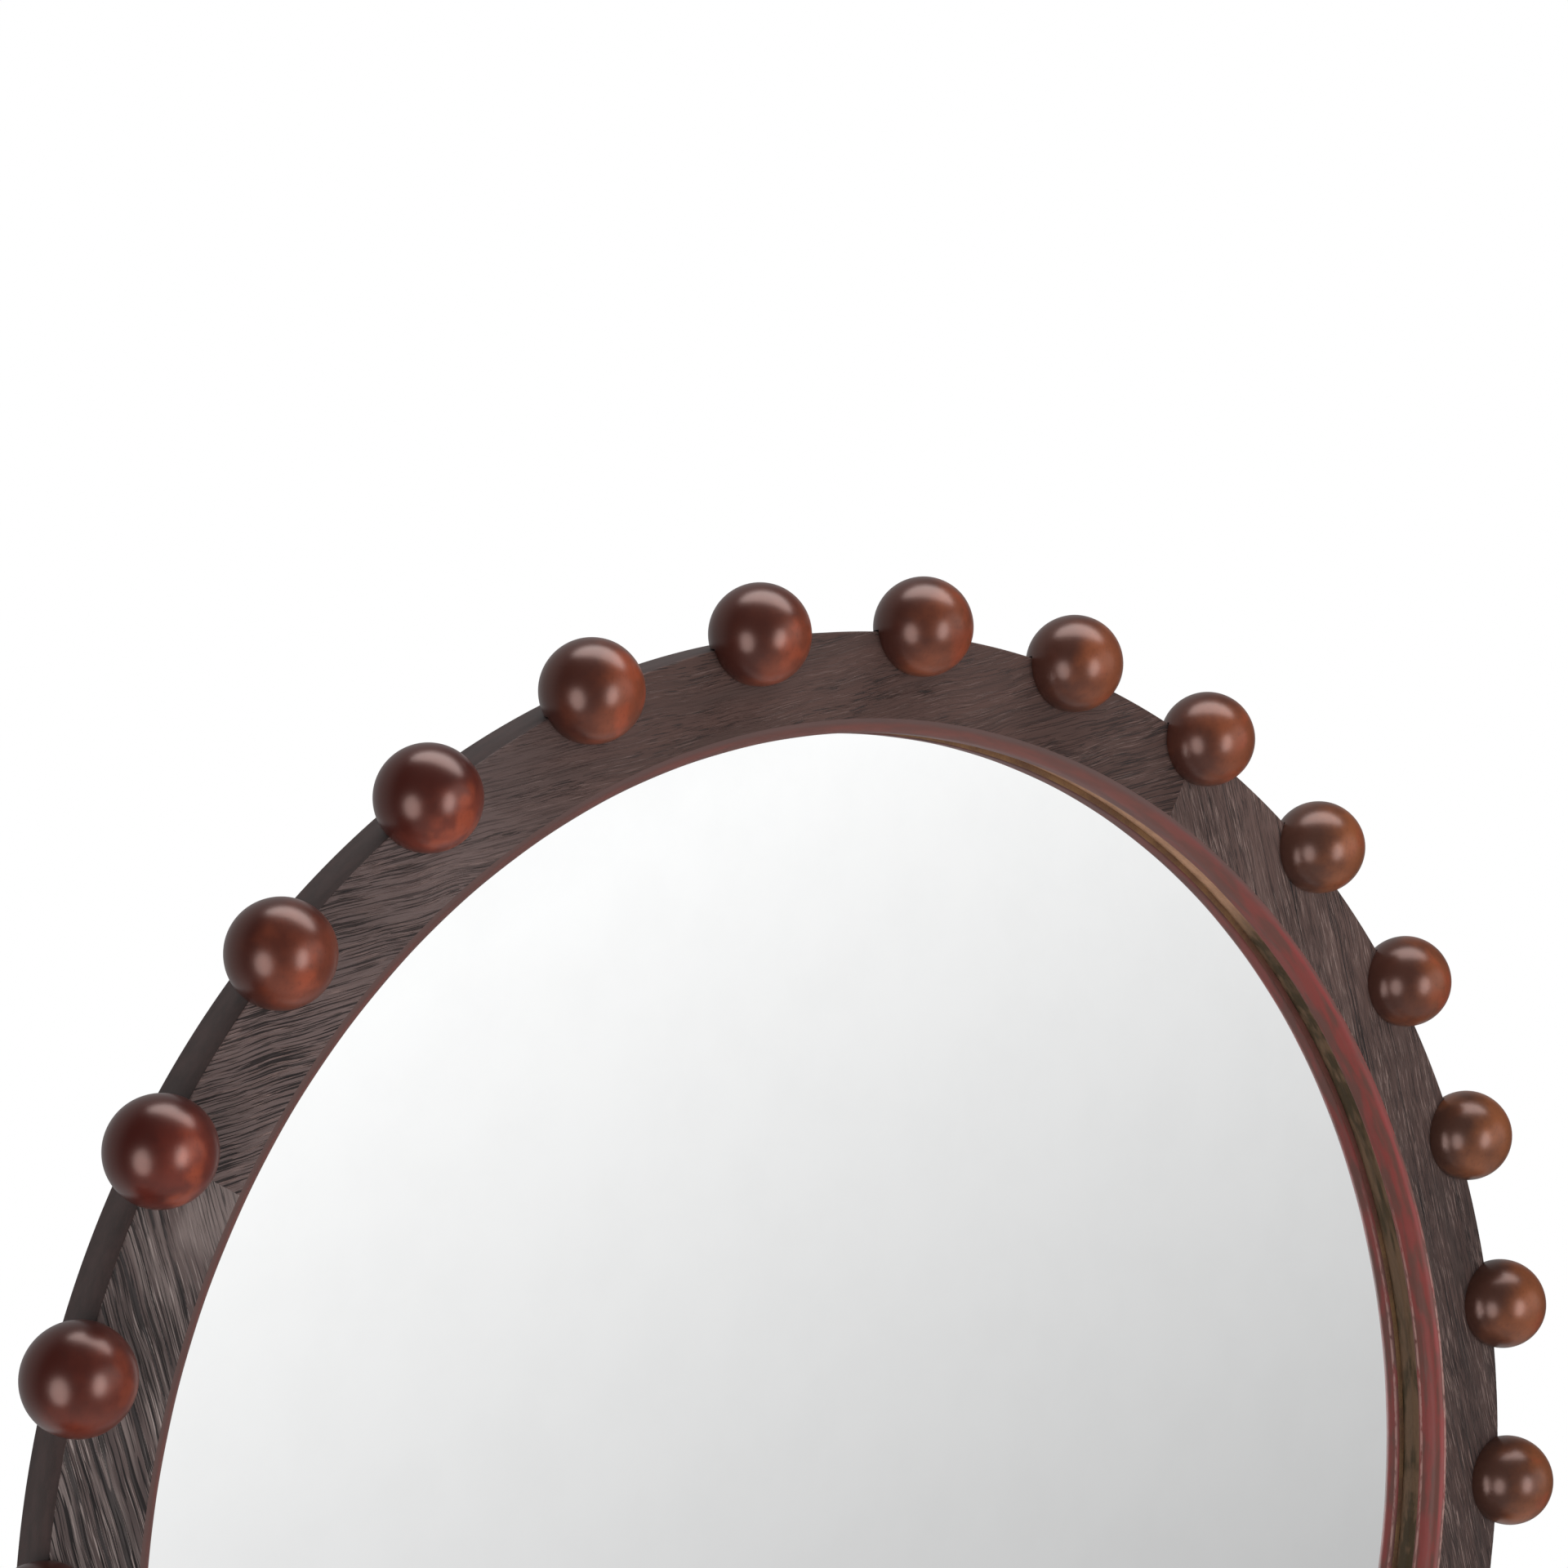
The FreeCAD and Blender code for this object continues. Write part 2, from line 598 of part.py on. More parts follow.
# Countersunk screws that hold the panel
panel_screws = new_body("panel_screws")
screw_section = new_sketch(panel_screws, "panel_screws_section", "XY_Plane")
outline(screw_section, (
    ("panel_screw_circle", "0"),
    ("panel_screw_circle", "panel_point_level"),
    ("panel_shank_edge", "panel_tip_level"),
    ("panel_shank_edge", "panel_neck_level"),
    ("panel_head_edge", "panel_rim_level"),
    ("panel_head_edge", "0"),
))
screw_axis = screw_section.addGeometry(Part.LineSegment(
    FreeCAD.Vector(value("panel_screw_circle"), value("panel_point_level"), 0),
    FreeCAD.Vector(value("panel_screw_circle"), 0, 0)), True)
screw_section.addConstraint(Sketcher.Constraint("Coincident", screw_axis, 1, 1, 1))
screw_section.addConstraint(Sketcher.Constraint("Coincident", screw_axis, 2, 0, 1))
screw_turned = revolve(panel_screws, "panel_screws_turned", screw_section, "full_turn", "Axis0")
screw_volume = panel_screws.Shape.Volume
screw_slot = new_sketch(panel_screws, "panel_screws_slot", "XZ_Plane")
cross(screw_slot, "panel_screw_circle", "panel_slot_half", "panel_slot_reach")
screw_recess = extrude(panel_screws, "PartDesign::Pocket", "panel_screws_recess", screw_slot,
                       "panel_screw_slot_depth", reverse=True)
screw_volume = cut_smaller(panel_screws, screw_volume, "screw recess")
polar(panel_screws, "panel_screws_round", [screw_turned, screw_recess], "full_turn", "panel_screw_count")
turned(panel_screws, "panel_screw_turn")
nodes.append(panel_screws)


# Balls: each has a square notch that sits over the ring's front outer corner

def bound_sizes(thing, **texts):
    for name, text in texts.items():
        path = name.replace("_at_", ".")
        thing.setExpression(path, bound(text))


def part(kind, label, **texts):
    made = doc.addObject(kind, label)
    bound_sizes(made, **texts)
    return made


def ball(label, angle):
    sphere = part("Part::Sphere", label + "_sphere", Radius="ball_radius",
                  Placement_at_Base_at_x="ball_circle_radius", Placement_at_Base_at_y="ball_level")
    notch = part("Part::Box", label + "_notch", Length="notch_size", Width="notch_size",
                 Height="notch_height", Placement_at_Base_at_x="notch_radius - notch_size",
                 Placement_at_Base_at_y="face_level", Placement_at_Base_at_z="-notch_height / 2")
    hole = part("Part::Cylinder", label + "_hole", Radius="dowel_hole_radius",
                Height="dowel_hole_length", Placement_at_Base_at_x="dowel_hole_start",
                Placement_at_Base_at_y="dowel_level")
    hole.Placement.Rotation = FreeCAD.Rotation(FreeCAD.Vector(0, 1, 0), value("top_angle"))
    tools = doc.addObject("Part::MultiFuse", label + "_tools")
    tools.Shapes = [notch, hole]
    made = doc.addObject("Part::Cut", label)
    made.Base = sphere
    made.Tool = tools
    made.Label = label
    turned(made, angle)
    nodes.append(made)
    return made


ball_total = int(round(value("ball_count")))
for number in range(ball_total):
    ball("ball_%02d" % (number + 1), "top_angle - %d * ball_step" % number)


# Wooden dowels

ball_dowels = new_body("ball_dowels")
dowel_circle = new_sketch(ball_dowels, "ball_dowels_circle", "YZ_Plane")
dowel_circle.AttachmentOffset = FreeCAD.Placement(
    FreeCAD.Vector(0, 0, value("dowel_start_radius")), FreeCAD.Rotation())
dowel_circle.setExpression("AttachmentOffset.Base.z", bound("dowel_start_radius"))
circle(dowel_circle, "dowel_level", "0", "dowel_radius")
dowel_pad = extrude(ball_dowels, "PartDesign::Pad", "ball_dowels_pad", dowel_circle, "dowel_length")
polar(ball_dowels, "ball_dowels_round", [dowel_pad], "full_turn", "ball_count")
turned(ball_dowels, "top_angle")
nodes.append(ball_dowels)

joint_dowels = new_body("joint_dowels")
joint_circles = new_sketch(joint_dowels, "joint_dowels_circles", "XY_Plane")
circle(joint_circles, "inner_dowel_radius", "inner_dowel_level", "joint_dowel_radius")
circle(joint_circles, "outer_dowel_radius", "outer_dowel_level", "joint_dowel_radius")
joint_pad = extrude(joint_dowels, "PartDesign::Pad", "joint_dowels_pad", joint_circles,
                    "joint_dowel_length", middle=True)
polar(joint_dowels, "joint_dowels_round", [joint_pad], "full_turn", "segment_count")
turned(joint_dowels, "first_joint")
nodes.append(joint_dowels)


# Hangers: a strap whose rolled end is the hinge of a D-shaped wire ring.
# Each is drawn with the hinge along X, the strap down -Z and the wood at y = 0.

def place_hanger(thing, side):
    sign = "" if side == "right" else "-"
    thing.Placement = FreeCAD.Placement(FreeCAD.Vector(0, 0, 0),
                                        FreeCAD.Rotation(FreeCAD.Vector(0, -1, 0), 0))
    if side == "left":
        thing.Placement = FreeCAD.Placement(FreeCAD.Vector(0, 0, 0),
                                            FreeCAD.Rotation(FreeCAD.Vector(0, 1, 0), 0))
    bound_sizes(thing, Placement_at_Rotation_at_Angle="hanger_angle",
                Placement_at_Base_at_x=sign + "hanger_x", Placement_at_Base_at_z="hanger_z")


def hanger_strap(label, side):
    body = new_body(label)
    profile = new_sketch(body, label + "_profile", "YZ_Plane")
    outline(profile, (
        ("0", "-strap_end_centre"),
        ("strap_thickness", "-strap_end_centre"),
        ("strap_thickness", "0", "roll_outer_radius", "0", "x", -1),
        ("roll_inner_stop_y", "roll_inner_stop_z"),
        ("roll_outer_stop_y", "roll_outer_stop_z", "roll_outer_radius", "0", "x", 1),
        ("0", "0"),
    ))
    extrude(body, "PartDesign::Pad", label + "_sheet", profile, "strap_width", middle=True)
    end = new_sketch(body, label + "_end", "XZ_Plane")
    circle(end, "0", "-strap_end_centre", "strap_half_width")
    extrude(body, "PartDesign::Pad", label + "_round_end", end, "strap_thickness", reverse=True)
    volume = body.Shape.Volume
    holes = new_sketch(body, label + "_holes", "XZ_Plane")
    circle(holes, "0", "-hanger_screw_first", "hanger_hole_radius")
    circle(holes, "0", "-hanger_screw_second", "hanger_hole_radius")
    extrude(body, "PartDesign::Pocket", label + "_holes_cut", holes, "strap_through")
    cut_smaller(body, volume, "strap holes")
    place_hanger(body, side)
    nodes.append(body)


def hanger_ring(label, side):
    body = new_body(label)
    path = new_sketch(body, label + "_path", "XZ_Plane")
    outline(path, (
        ("-ring_bar_half", "0"),
        ("ring_bar_half", "0", "ring_bar_half", "-ring_corner_radius", "x", -1),
        ("ring_bow_radius", "-ring_corner_radius"),
        ("ring_bow_radius", "-ring_leg_end", "0", "-ring_leg_end", "y", -1),
        ("-ring_bow_radius", "-ring_leg_end"),
        ("-ring_bow_radius", "-ring_corner_radius", "-ring_bar_half", "-ring_corner_radius", "x", -1),
    ))
    path.AttachmentOffset = FreeCAD.Placement(
        FreeCAD.Vector(0, 0, value("-roll_outer_radius")), FreeCAD.Rotation())
    path.setExpression("AttachmentOffset.Base.z", bound("-roll_outer_radius"))
    wire = new_sketch(body, label + "_wire", "YZ_Plane")
    circle(wire, "roll_outer_radius", "0", "wire_radius")
    doc.recompute()
    pipe = body.newObject("PartDesign::AdditivePipe", label + "_bent")
    pipe.Profile = wire
    pipe.Spine = (path, [])
    path.Visibility = False
    wire.Visibility = False
    doc.recompute()
    place_hanger(body, side)
    nodes.append(body)


def hanger_screws(label, side):
    body = new_body(label)
    section = new_sketch(body, label + "_section", "XY_Plane")
    outline(section, (
        ("0", "hanger_head_level"),
        ("0", "hanger_point_level"),
        ("hanger_screw_radius", "hanger_tip_level"),
        ("hanger_screw_radius", "strap_thickness"),
        ("hanger_screw_head_radius", "strap_thickness"),
        ("hanger_screw_head_radius", "hanger_rim_level"),
        ("hanger_head_flat", "hanger_head_level"),
    ))
    shank = revolve(body, label + "_turned", section, "full_turn")
    volume = body.Shape.Volume
    slot = new_sketch(body, label + "_slot", "XZ_Plane")
    slot.AttachmentOffset = FreeCAD.Placement(
        FreeCAD.Vector(0, 0, value("-hanger_head_level")), FreeCAD.Rotation())
    slot.setExpression("AttachmentOffset.Base.z", bound("-hanger_head_level"))
    cross(slot, "0", "hanger_slot_half", "hanger_slot_reach")
    recess = extrude(body, "PartDesign::Pocket", label + "_recess", slot,
                     "hanger_screw_slot_depth", reverse=True)
    cut_smaller(body, volume, "hanger screw recess")
    pair = body.newObject("PartDesign::LinearPattern", label + "_pair")
    pair.Originals = [shank, recess]
    pair.Direction = (origin_feature(body, "Z_Axis"), [""])
    pair.Reversed = True
    pair.Length = value("hanger_screw_spacing")
    pair.setExpression("Length", bound("hanger_screw_spacing"))
    pair.Occurrences = 2
    body.Tip = pair
    doc.recompute()
    place_hanger(body, side)
    bound_sizes(body, Placement_at_Base_at_x="screw_x" if side == "right" else "-screw_x",
                Placement_at_Base_at_z="screw_z")
    nodes.append(body)


for hanger_side in ("left", "right"):
    hanger_strap(hanger_side + "_hanger_strap", hanger_side)
    hanger_ring(hanger_side + "_hanger_ring", hanger_side)
    hanger_screws(hanger_side + "_hanger_screws", hanger_side)


# Rubber bumpers that stand on the wall, each behind a ball and level with its twin

def bumper(label, angle):
    body = new_body(label)
    section = new_sketch(body, label + "_section", "XY_Plane")
    outline(section, (
        ("0", "0"),
        ("bumper_radius", "0"),
        ("bumper_radius", "bumper_edge_level", "bumper_flat_radius", "bumper_edge_level", "y", 1),
        ("bumper_flat_radius", "bumper_height"),
        ("0", "bumper_height"),
    ))
    revolve(body, label + "_turned", section, "full_turn")
    bound_sizes(body, Placement_at_Base_at_x="bumper_circle * cos(" + angle + ")",
                Placement_at_Base_at_z="bumper_circle * sin(" + angle + ")")
    nodes.append(body)


bumper("wall_bumper_1", "bumper_angle")
bumper("wall_bumper_2", "full_turn / 2 - bumper_angle")
bumper("wall_bumper_3", "full_turn / 2 + bumper_angle")
bumper("wall_bumper_4", "full_turn - bumper_angle")

doc.recompute()

# Every object is sound before anything is written
for thing in doc.Objects:
    if "Invalid" in thing.State or "Error" in thing.State:
        raise RuntimeError("failed object " + thing.Label + " " + str(thing.State))
for node in nodes:
    if node.Shape.isNull() or not node.Shape.isValid():
        raise RuntimeError("bad shape " + node.Label)

os.makedirs("parts", exist_ok=True)
for node in nodes:
    node.Shape.exportStep(os.path.join("parts", node.Label + ".step"))
    box = node.Shape.BoundBox
    print(node.Label, "solids", len(node.Shape.Solids), "volume", round(node.Shape.Volume, 1),
          "x", round(box.XMin, 2), round(box.XMax, 2), "y", round(box.YMin, 2), round(box.YMax, 2),
          "z", round(box.ZMin, 2), round(box.ZMax, 2))
print("pieces", len(nodes))
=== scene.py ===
# %% [markdown]
# # A round wall mirror edged with wooden balls
#
# The real mirror is a flat ring of four sawn boards, butted end to end, with the
# grain of each board running straight. Twenty-eight lacquered balls sit over the
# front corner of the ring, a rounded bead lines the opening, and the glass lies
# behind it. The CAD model gives every size and place, so this file only adds what
# the eye wants: the brushed relief of the wood, the lacquer, the bead's sheen,
# the fittings behind, and the light.

import math

import bpy
import numpy as np
from mathutils import Matrix, Vector


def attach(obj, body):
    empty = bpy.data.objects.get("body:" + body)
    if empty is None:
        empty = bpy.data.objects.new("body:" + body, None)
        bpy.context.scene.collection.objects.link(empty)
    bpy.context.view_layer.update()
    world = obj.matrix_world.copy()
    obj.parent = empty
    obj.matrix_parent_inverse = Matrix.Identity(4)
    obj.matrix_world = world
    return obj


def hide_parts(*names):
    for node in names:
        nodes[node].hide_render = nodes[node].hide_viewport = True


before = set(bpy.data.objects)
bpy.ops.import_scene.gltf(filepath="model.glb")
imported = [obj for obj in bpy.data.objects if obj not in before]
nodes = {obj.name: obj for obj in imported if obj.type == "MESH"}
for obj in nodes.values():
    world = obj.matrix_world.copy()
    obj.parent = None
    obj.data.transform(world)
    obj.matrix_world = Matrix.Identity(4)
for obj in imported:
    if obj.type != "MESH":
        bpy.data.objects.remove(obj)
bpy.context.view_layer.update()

# %% [markdown]
# ## Units, turns and colours
#
# The drawing of the mirror is in millimetres and Blender works in metres, so
# lengths below are written as a number of MM. Places on the ring are turns about
# the Y axis, counted from the right hand side towards the top. Radius is counted
# from that axis, and depth from the back of the ring, so the face lies at -25.
# Colours are written as a screen shows them, from 0 to 255, and changed to the
# linear values that a shader wants.

# %% Units, turns and colours
MM = 0.001


def turn_about_ring(degrees):
    """A turn about the mirror's axis, from +X towards +Z."""
    return Matrix.Rotation(-math.radians(degrees), 4, "Y")


def paint(red, green, blue):
    """A screen colour as the linear colour that shaders use."""
    linear = [
        (c / 255 / 12.92) if c <= 10 else ((c / 255 + 0.055) / 1.055) ** 2.4
        for c in (red, green, blue)
    ]
    return (*linear, 1.0)


# %% [markdown]
# ## The camera
#
# The photograph is taken from the left and a little below the middle, with a long
# lens and about two degrees of roll. Its place was worked out from the outlines
# of the ring and the balls, so the camera is set by its direction and its up
# vector and not by eye. It comes before the modelling.

# %% Camera
camera = bpy.data.objects.new("camera", bpy.data.cameras.new("camera"))
bpy.context.scene.collection.objects.link(camera)
camera.data.sensor_width = 36.0
camera.data.lens = 83.11
look = Vector((0.5994, 0.8000, 0.0280)).normalized()
roof = Vector((-0.0497, 0.0023, 0.9988))
roof = (roof - look * roof.dot(look)).normalized()
side = look.cross(roof)
camera.matrix_world = Matrix.Translation((-0.9026, -1.1457, 0.2561)) @ Matrix(
    (
        (side.x, roof.x, -look.x, 0),
        (side.y, roof.y, -look.y, 0),
        (side.z, roof.z, -look.z, 0),
        (0, 0, 0, 1),
    )
)
bpy.context.scene.camera = camera
print("lens", camera.data.lens, "mm at", [round(v, 3) for v in camera.location])

# %% [markdown]
# ## A small kit for finishes
#
# A finish is a tree of nodes, and a tree is easier to read as arithmetic. Wire
# holds one value on its way through the tree, and adding or multiplying wires
# adds the Math nodes. The tree itself is held by Finish, in the next cell.

# %% Wires
class Wire:
    """One value on its way through a finish."""

    def __init__(self, finish, socket):
        self.finish = finish
        self.socket = socket

    def maths(self, operation, first, second):
        """One Math node, which takes wires and plain numbers alike."""
        return self.finish.add(
            "ShaderNodeMath", {"operation": operation}, {0: first, 1: second}
        )

    def __add__(self, other):
        return self.maths("ADD", self, other)

    def __radd__(self, other):
        return self.maths("ADD", other, self)

    def __sub__(self, other):
        return self.maths("SUBTRACT", self, other)

    def __rsub__(self, other):
        return self.maths("SUBTRACT", other, self)

    def __mul__(self, other):
        return self.maths("MULTIPLY", self, other)

    def __rmul__(self, other):
        return self.maths("MULTIPLY", other, self)

    def __truediv__(self, other):
        return self.maths("DIVIDE", self, other)


# %% [markdown]
# ## The tree of one finish
#
# The add method of Finish makes any node from its type, its settings and its
# sockets, and the other methods name the few nodes that most finishes want.
# Colours go through Mix nodes, because a Math node would turn them grey.

# %% Finishes
class Finish:
    """A material, or the world, and the nodes that make it."""

    def __init__(self, name, tree=None):
        if tree is None:
            self.material = bpy.data.materials.new(name)
            self.material.use_nodes = True
            tree = self.material.node_tree
            self.shader = tree.nodes["Principled BSDF"]
        self.tree = tree

    def add(self, kind, settings=None, sockets=None, output=0):
        """Any node: its type, its settings, and the values or wires of its sockets."""
        node = self.tree.nodes.new(kind)
        for key, value in (settings or {}).items():
            setattr(node, key, value)
        for key, value in (sockets or {}).items():
            if isinstance(value, Wire):
                self.tree.links.new(value.socket, node.inputs[key])
            else:
                node.inputs[key].default_value = value
        return Wire(self, node.outputs[output])

    def blend(self, factor, first, second):
        """A colour between two colours."""
        return self.add(
            "ShaderNodeMix",
            {"data_type": "RGBA"},
            {0: factor, 6: first, 7: second},
            output=2,
        )

    def object_place(self):
        """The place on the piece, in metres."""
        return self.add("ShaderNodeTexCoord", output="Object")

    def stored(self, name):
        """The number that a piece stores on its corners under this name."""
        return self.add("ShaderNodeAttribute", {"attribute_name": name}, output="Fac")

    def stretched(self, place, scale):
        """A place whose axes are multiplied by scale, so that small shares stretch."""
        return self.add("ShaderNodeMapping", sockets={"Vector": place, "Scale": scale})

    def parts(self, place):
        """The three numbers of a place."""
        split = self.add("ShaderNodeSeparateXYZ", sockets={0: place})
        return [Wire(self, socket) for socket in split.socket.node.outputs]

    def joined(self, x, y, z):
        """A place from three numbers."""
        return self.add("ShaderNodeCombineXYZ", sockets={0: x, 1: y, 2: z})

    def noise(self, place, scale, detail, roughness):
        """Soft lumps from 0 to 1."""
        return self.add(
            "ShaderNodeTexNoise",
            sockets={
                "Vector": place,
                "Scale": scale,
                "Detail": detail,
                "Roughness": roughness,
            },
        )

    def ease(self, value, low, high):
        """0 below low, 1 above high, and a soft step between."""
        return self.add(
            "ShaderNodeMapRange",
            {"interpolation_type": "SMOOTHSTEP"},
            {"Value": value, "From Min": low, "From Max": high},
        )

    def use(self, **sockets):
        """Sets the shader's own sockets, with _ for each space in a name."""
        for key, value in sockets.items():
            socket = self.shader.inputs[key.replace("_", " ")]
            if isinstance(value, Wire):
                self.tree.links.new(value.socket, socket)
            else:
                socket.default_value = value

    def relief(self, height, depth):
        """Bumps of the given depth in metres, for the shader's normal."""
        bump = {"Strength": 1.0, "Distance": depth, "Height": height}
        self.use(Normal=self.add("ShaderNodeBump", sockets=bump))


# %% [markdown]
# ## Putting finishes on a piece
#
# A mesh has material slots, and each of its faces holds the number of a slot. A
# piece that already has slots gets its finishes in their order, and any other
# piece gets new slots.

# %% Dressing a piece
def dress(piece, *finishes):
    """Gives a piece its materials, in the order of its face indices."""
    if piece.data.materials:
        last = len(finishes) - 1
        for number in range(len(piece.data.materials)):
            piece.data.materials[number] = finishes[min(number, last)].material
    else:
        for finish in finishes:
            piece.data.materials.append(finish.material)


# %% [markdown]
# ## Drawing a section and turning it
#
# Ring and bead are both turned shapes: one section carried round the mirror's
# axis, as a lathe does it. The spin operator could do that too, but it gets slow
# with the thousand steps that the fine relief needs, so a Screw modifier without
# any rise does the turning and is then applied. A section starts as a circle
# primitive with as many corners as the section has, whose corners are then put in
# their places in radius and depth.

# %% Section and turning helpers
def choose(piece):
    """Makes one piece active, with nothing else selected."""
    bpy.ops.object.select_all(action="DESELECT")
    bpy.context.view_layer.objects.active = piece
    piece.select_set(True)


def edit(piece):
    """Chooses one piece, with nothing selected in its mesh."""
    choose(piece)
    bpy.ops.object.mode_set(mode="EDIT")
    bpy.ops.mesh.select_all(action="DESELECT")
    bpy.ops.object.mode_set(mode="OBJECT")


def draw_section(name, corners):
    """A closed outline in radius and depth, in millimetres."""
    bpy.ops.object.select_all(action="DESELECT")
    bpy.ops.mesh.primitive_circle_add(vertices=len(corners), radius=0.3)
    piece = bpy.context.object
    piece.name = piece.data.name = name
    for vertex, (radius, depth) in zip(piece.data.vertices, corners):
        vertex.co = (radius * MM, depth * MM, 0)
    return piece


def corner_round(radius, depth, bend, start, stop, steps):
    """The points of a rounded corner about (radius, depth), in degrees."""
    corner = []
    for n in range(steps + 1):
        angle = math.radians(start + (stop - start) * n / steps)
        corner.append((radius + bend * math.cos(angle), depth + bend * math.sin(angle)))
    return corner


def turn_section(piece, degrees, steps):
    """Carries the section round the mirror's axis, from +X towards +Z."""
    edit(piece)
    turn = piece.modifiers.new("turn", "SCREW")
    turn.axis = "Y"
    turn.angle = -math.radians(degrees)
    turn.steps = turn.render_steps = steps
    turn.use_merge_vertices = degrees == 360
    bpy.ops.object.modifier_apply(modifier="turn")


def close_mesh(piece):
    """Merges doubled corners and turns every face outwards."""
    edit(piece)
    bpy.ops.object.mode_set(mode="EDIT")
    bpy.ops.mesh.select_mode(type="VERT")
    bpy.ops.mesh.select_all(action="SELECT")
    bpy.ops.mesh.remove_doubles(threshold=0.00001)
    bpy.ops.mesh.normals_make_consistent(inside=False)
    bpy.ops.object.mode_set(mode="OBJECT")


def points_of(piece):
    """All corners of a piece, in metres."""
    flat = np.empty(len(piece.data.vertices) * 3, np.float32)
    piece.data.vertices.foreach_get("co", flat)
    return flat.reshape(-1, 3).astype(float)


def move_points(piece, points):
    """Puts all corners of a piece in new places, in metres."""
    piece.data.vertices.foreach_set("co", points.astype(np.float32).ravel())
    piece.data.update()


def keep_values(piece, name, values):
    """Stores one number for each corner, for a finish to read."""
    layer = piece.data.attributes.new(name, "FLOAT", "POINT")
    layer.data.foreach_set("value", values.astype(np.float32))


def smooth(piece, degrees):
    """Shades a piece smooth, apart from edges sharper than the given angle."""
    choose(piece)
    bpy.ops.object.shade_smooth_by_angle(angle=math.radians(degrees))


# %% [markdown]
# ## One ring segment
#
# A segment is a quarter of the ring: the face, a softly broken outer edge, the
# outer wall, and behind it the steps that hold the panel, the card, the glass and
# the bead. The face edge of the section is cut into half-millimetre steps before
# it is turned, because the brushed furrows are real relief and need points to move.
# The quarter is made once and copied for the other three.

# %% The plain segment
RING_FACE, RING_OUTSIDE = -25.0, 358.3
FACE_START, PANEL_RADIUS = 324.0, 342.5
FACE_STEPS, TURN_STEPS = 69, 1070
INSIDE_ROUND, OUTSIDE_ROUND, BACK_BEVEL = 0.3, 0.8, 1.0
ring_section = [
    (321.4, -13.4),
    (FACE_START, -13.4),
    (FACE_START, -24.7),
    *corner_round(324.3, -24.7, INSIDE_ROUND, 180, 270, 2)[1:],
    *corner_round(357.5, -24.2, OUTSIDE_ROUND, 270, 360, 3),
    (RING_OUTSIDE, -BACK_BEVEL),
    (357.3, 0.0),
    (PANEL_RADIUS, 0.0),
    (PANEL_RADIUS, -3.0),
    (330.0, -3.0),
    (330.0, -7.4),
    (321.4, -7.4),
]
plain_segment = draw_section("plain_segment", ring_section)
edit(plain_segment)
for edge in plain_segment.data.edges:
    ends = [plain_segment.data.vertices[n].co for n in edge.vertices]
    edge.select = all(abs(end.y - RING_FACE * MM) < 0.01 * MM for end in ends)
bpy.ops.object.mode_set(mode="EDIT")
bpy.ops.mesh.select_mode(type="EDGE")
bpy.ops.mesh.subdivide(number_cuts=FACE_STEPS - 1)
bpy.ops.object.mode_set(mode="OBJECT")
turn_section(plain_segment, 90, TURN_STEPS)
print("plain segment:", len(plain_segment.data.vertices), "corners")

# %% [markdown]
# ## Its two sawn ends
#
# Turning a section leaves the quarter open at both ends, like a bent pipe. One end
# lies where z is 0 and the other where x is 0, so the edges of each end are found
# by that and filled with one flat face.

# %% Close its two sawn ends
for cut in ("x", "z"):
    edit(plain_segment)
    on_cut = [abs(getattr(v.co, cut)) < 0.001 * MM for v in plain_segment.data.vertices]
    for edge in plain_segment.data.edges:
        edge.select = on_cut[edge.vertices[0]] and on_cut[edge.vertices[1]]
    bpy.ops.object.mode_set(mode="EDIT")
    bpy.ops.mesh.select_mode(type="EDGE")
    bpy.ops.mesh.fill()
    bpy.ops.object.mode_set(mode="OBJECT")
close_mesh(plain_segment)
print("ends closed:", len(plain_segment.data.polygons), "faces")

# %% [markdown]
# ## Furrows in the boards
#
# Each board was brushed along its grain, which pulls the soft wood out and leaves
# furrows 10 to 35 mm long and about one wide. They run parallel to the board, so
# they cross the ring at a slant near the joints. A stretched noise gives such
# lines: it changes slowly along the grain and quickly across it. Two slow noises
# push the lines sideways, which makes them wavy near knots. The furrows are stored
# on the corners and the wavy grain in a UV map, so that colour and fine grain
# follow the relief.

# %% Stretched noise and the furrow field
def lattice(a, b, seed):
    """A fixed number from -1 to 1 for each whole-numbered point."""
    mask = 0x7FFFFFFF
    value = (a * 374761393 + b * 668265263 + seed * 974634777) & mask
    value = ((value ^ (value >> 13)) * 1274126177) & mask
    return ((value ^ (value >> 16)) & 0xFFFF) / 32767.5 - 1


def soft_noise(x, y, seed):
    """Smooth lumps from -1 to 1 over a plane."""
    left, low = np.floor(x).astype(np.int64), np.floor(y).astype(np.int64)
    u, v = x - left, y - low
    u, v = u * u * (3 - 2 * u), v * v * (3 - 2 * v)
    bottom = lattice(left, low, seed) * (1 - u) + lattice(left + 1, low, seed) * u
    top = lattice(left, low + 1, seed) * (1 - u) + lattice(left + 1, low + 1, seed) * u
    return bottom * (1 - v) + top * v


def ease(value, low, high):
    """0 below low, 1 above high, and a soft step between."""
    share = np.clip((value - low) / (high - low), 0, 1)
    return share * share * (3 - 2 * share)


def furrows(along, across, length, width, cover, seed):
    """Furrow depth from 0 to 1 of two sizes of line, in millimetres."""
    broad = soft_noise(along / length, across / width, seed)
    longer = soft_noise(along / (3 * length), across / (0.8 * width), seed + 1)
    broad = 0.75 * broad + 0.35 * longer
    narrow = soft_noise(along / (0.5 * length), across / (0.6 * width), seed + 2)
    deep = 0.75 * ease(broad, 1 - cover, 1.25 - cover)
    shallow = 0.4 * ease(narrow, 1.1 - cover, 1.4 - cover)
    return np.clip(deep + shallow, 0, 1)


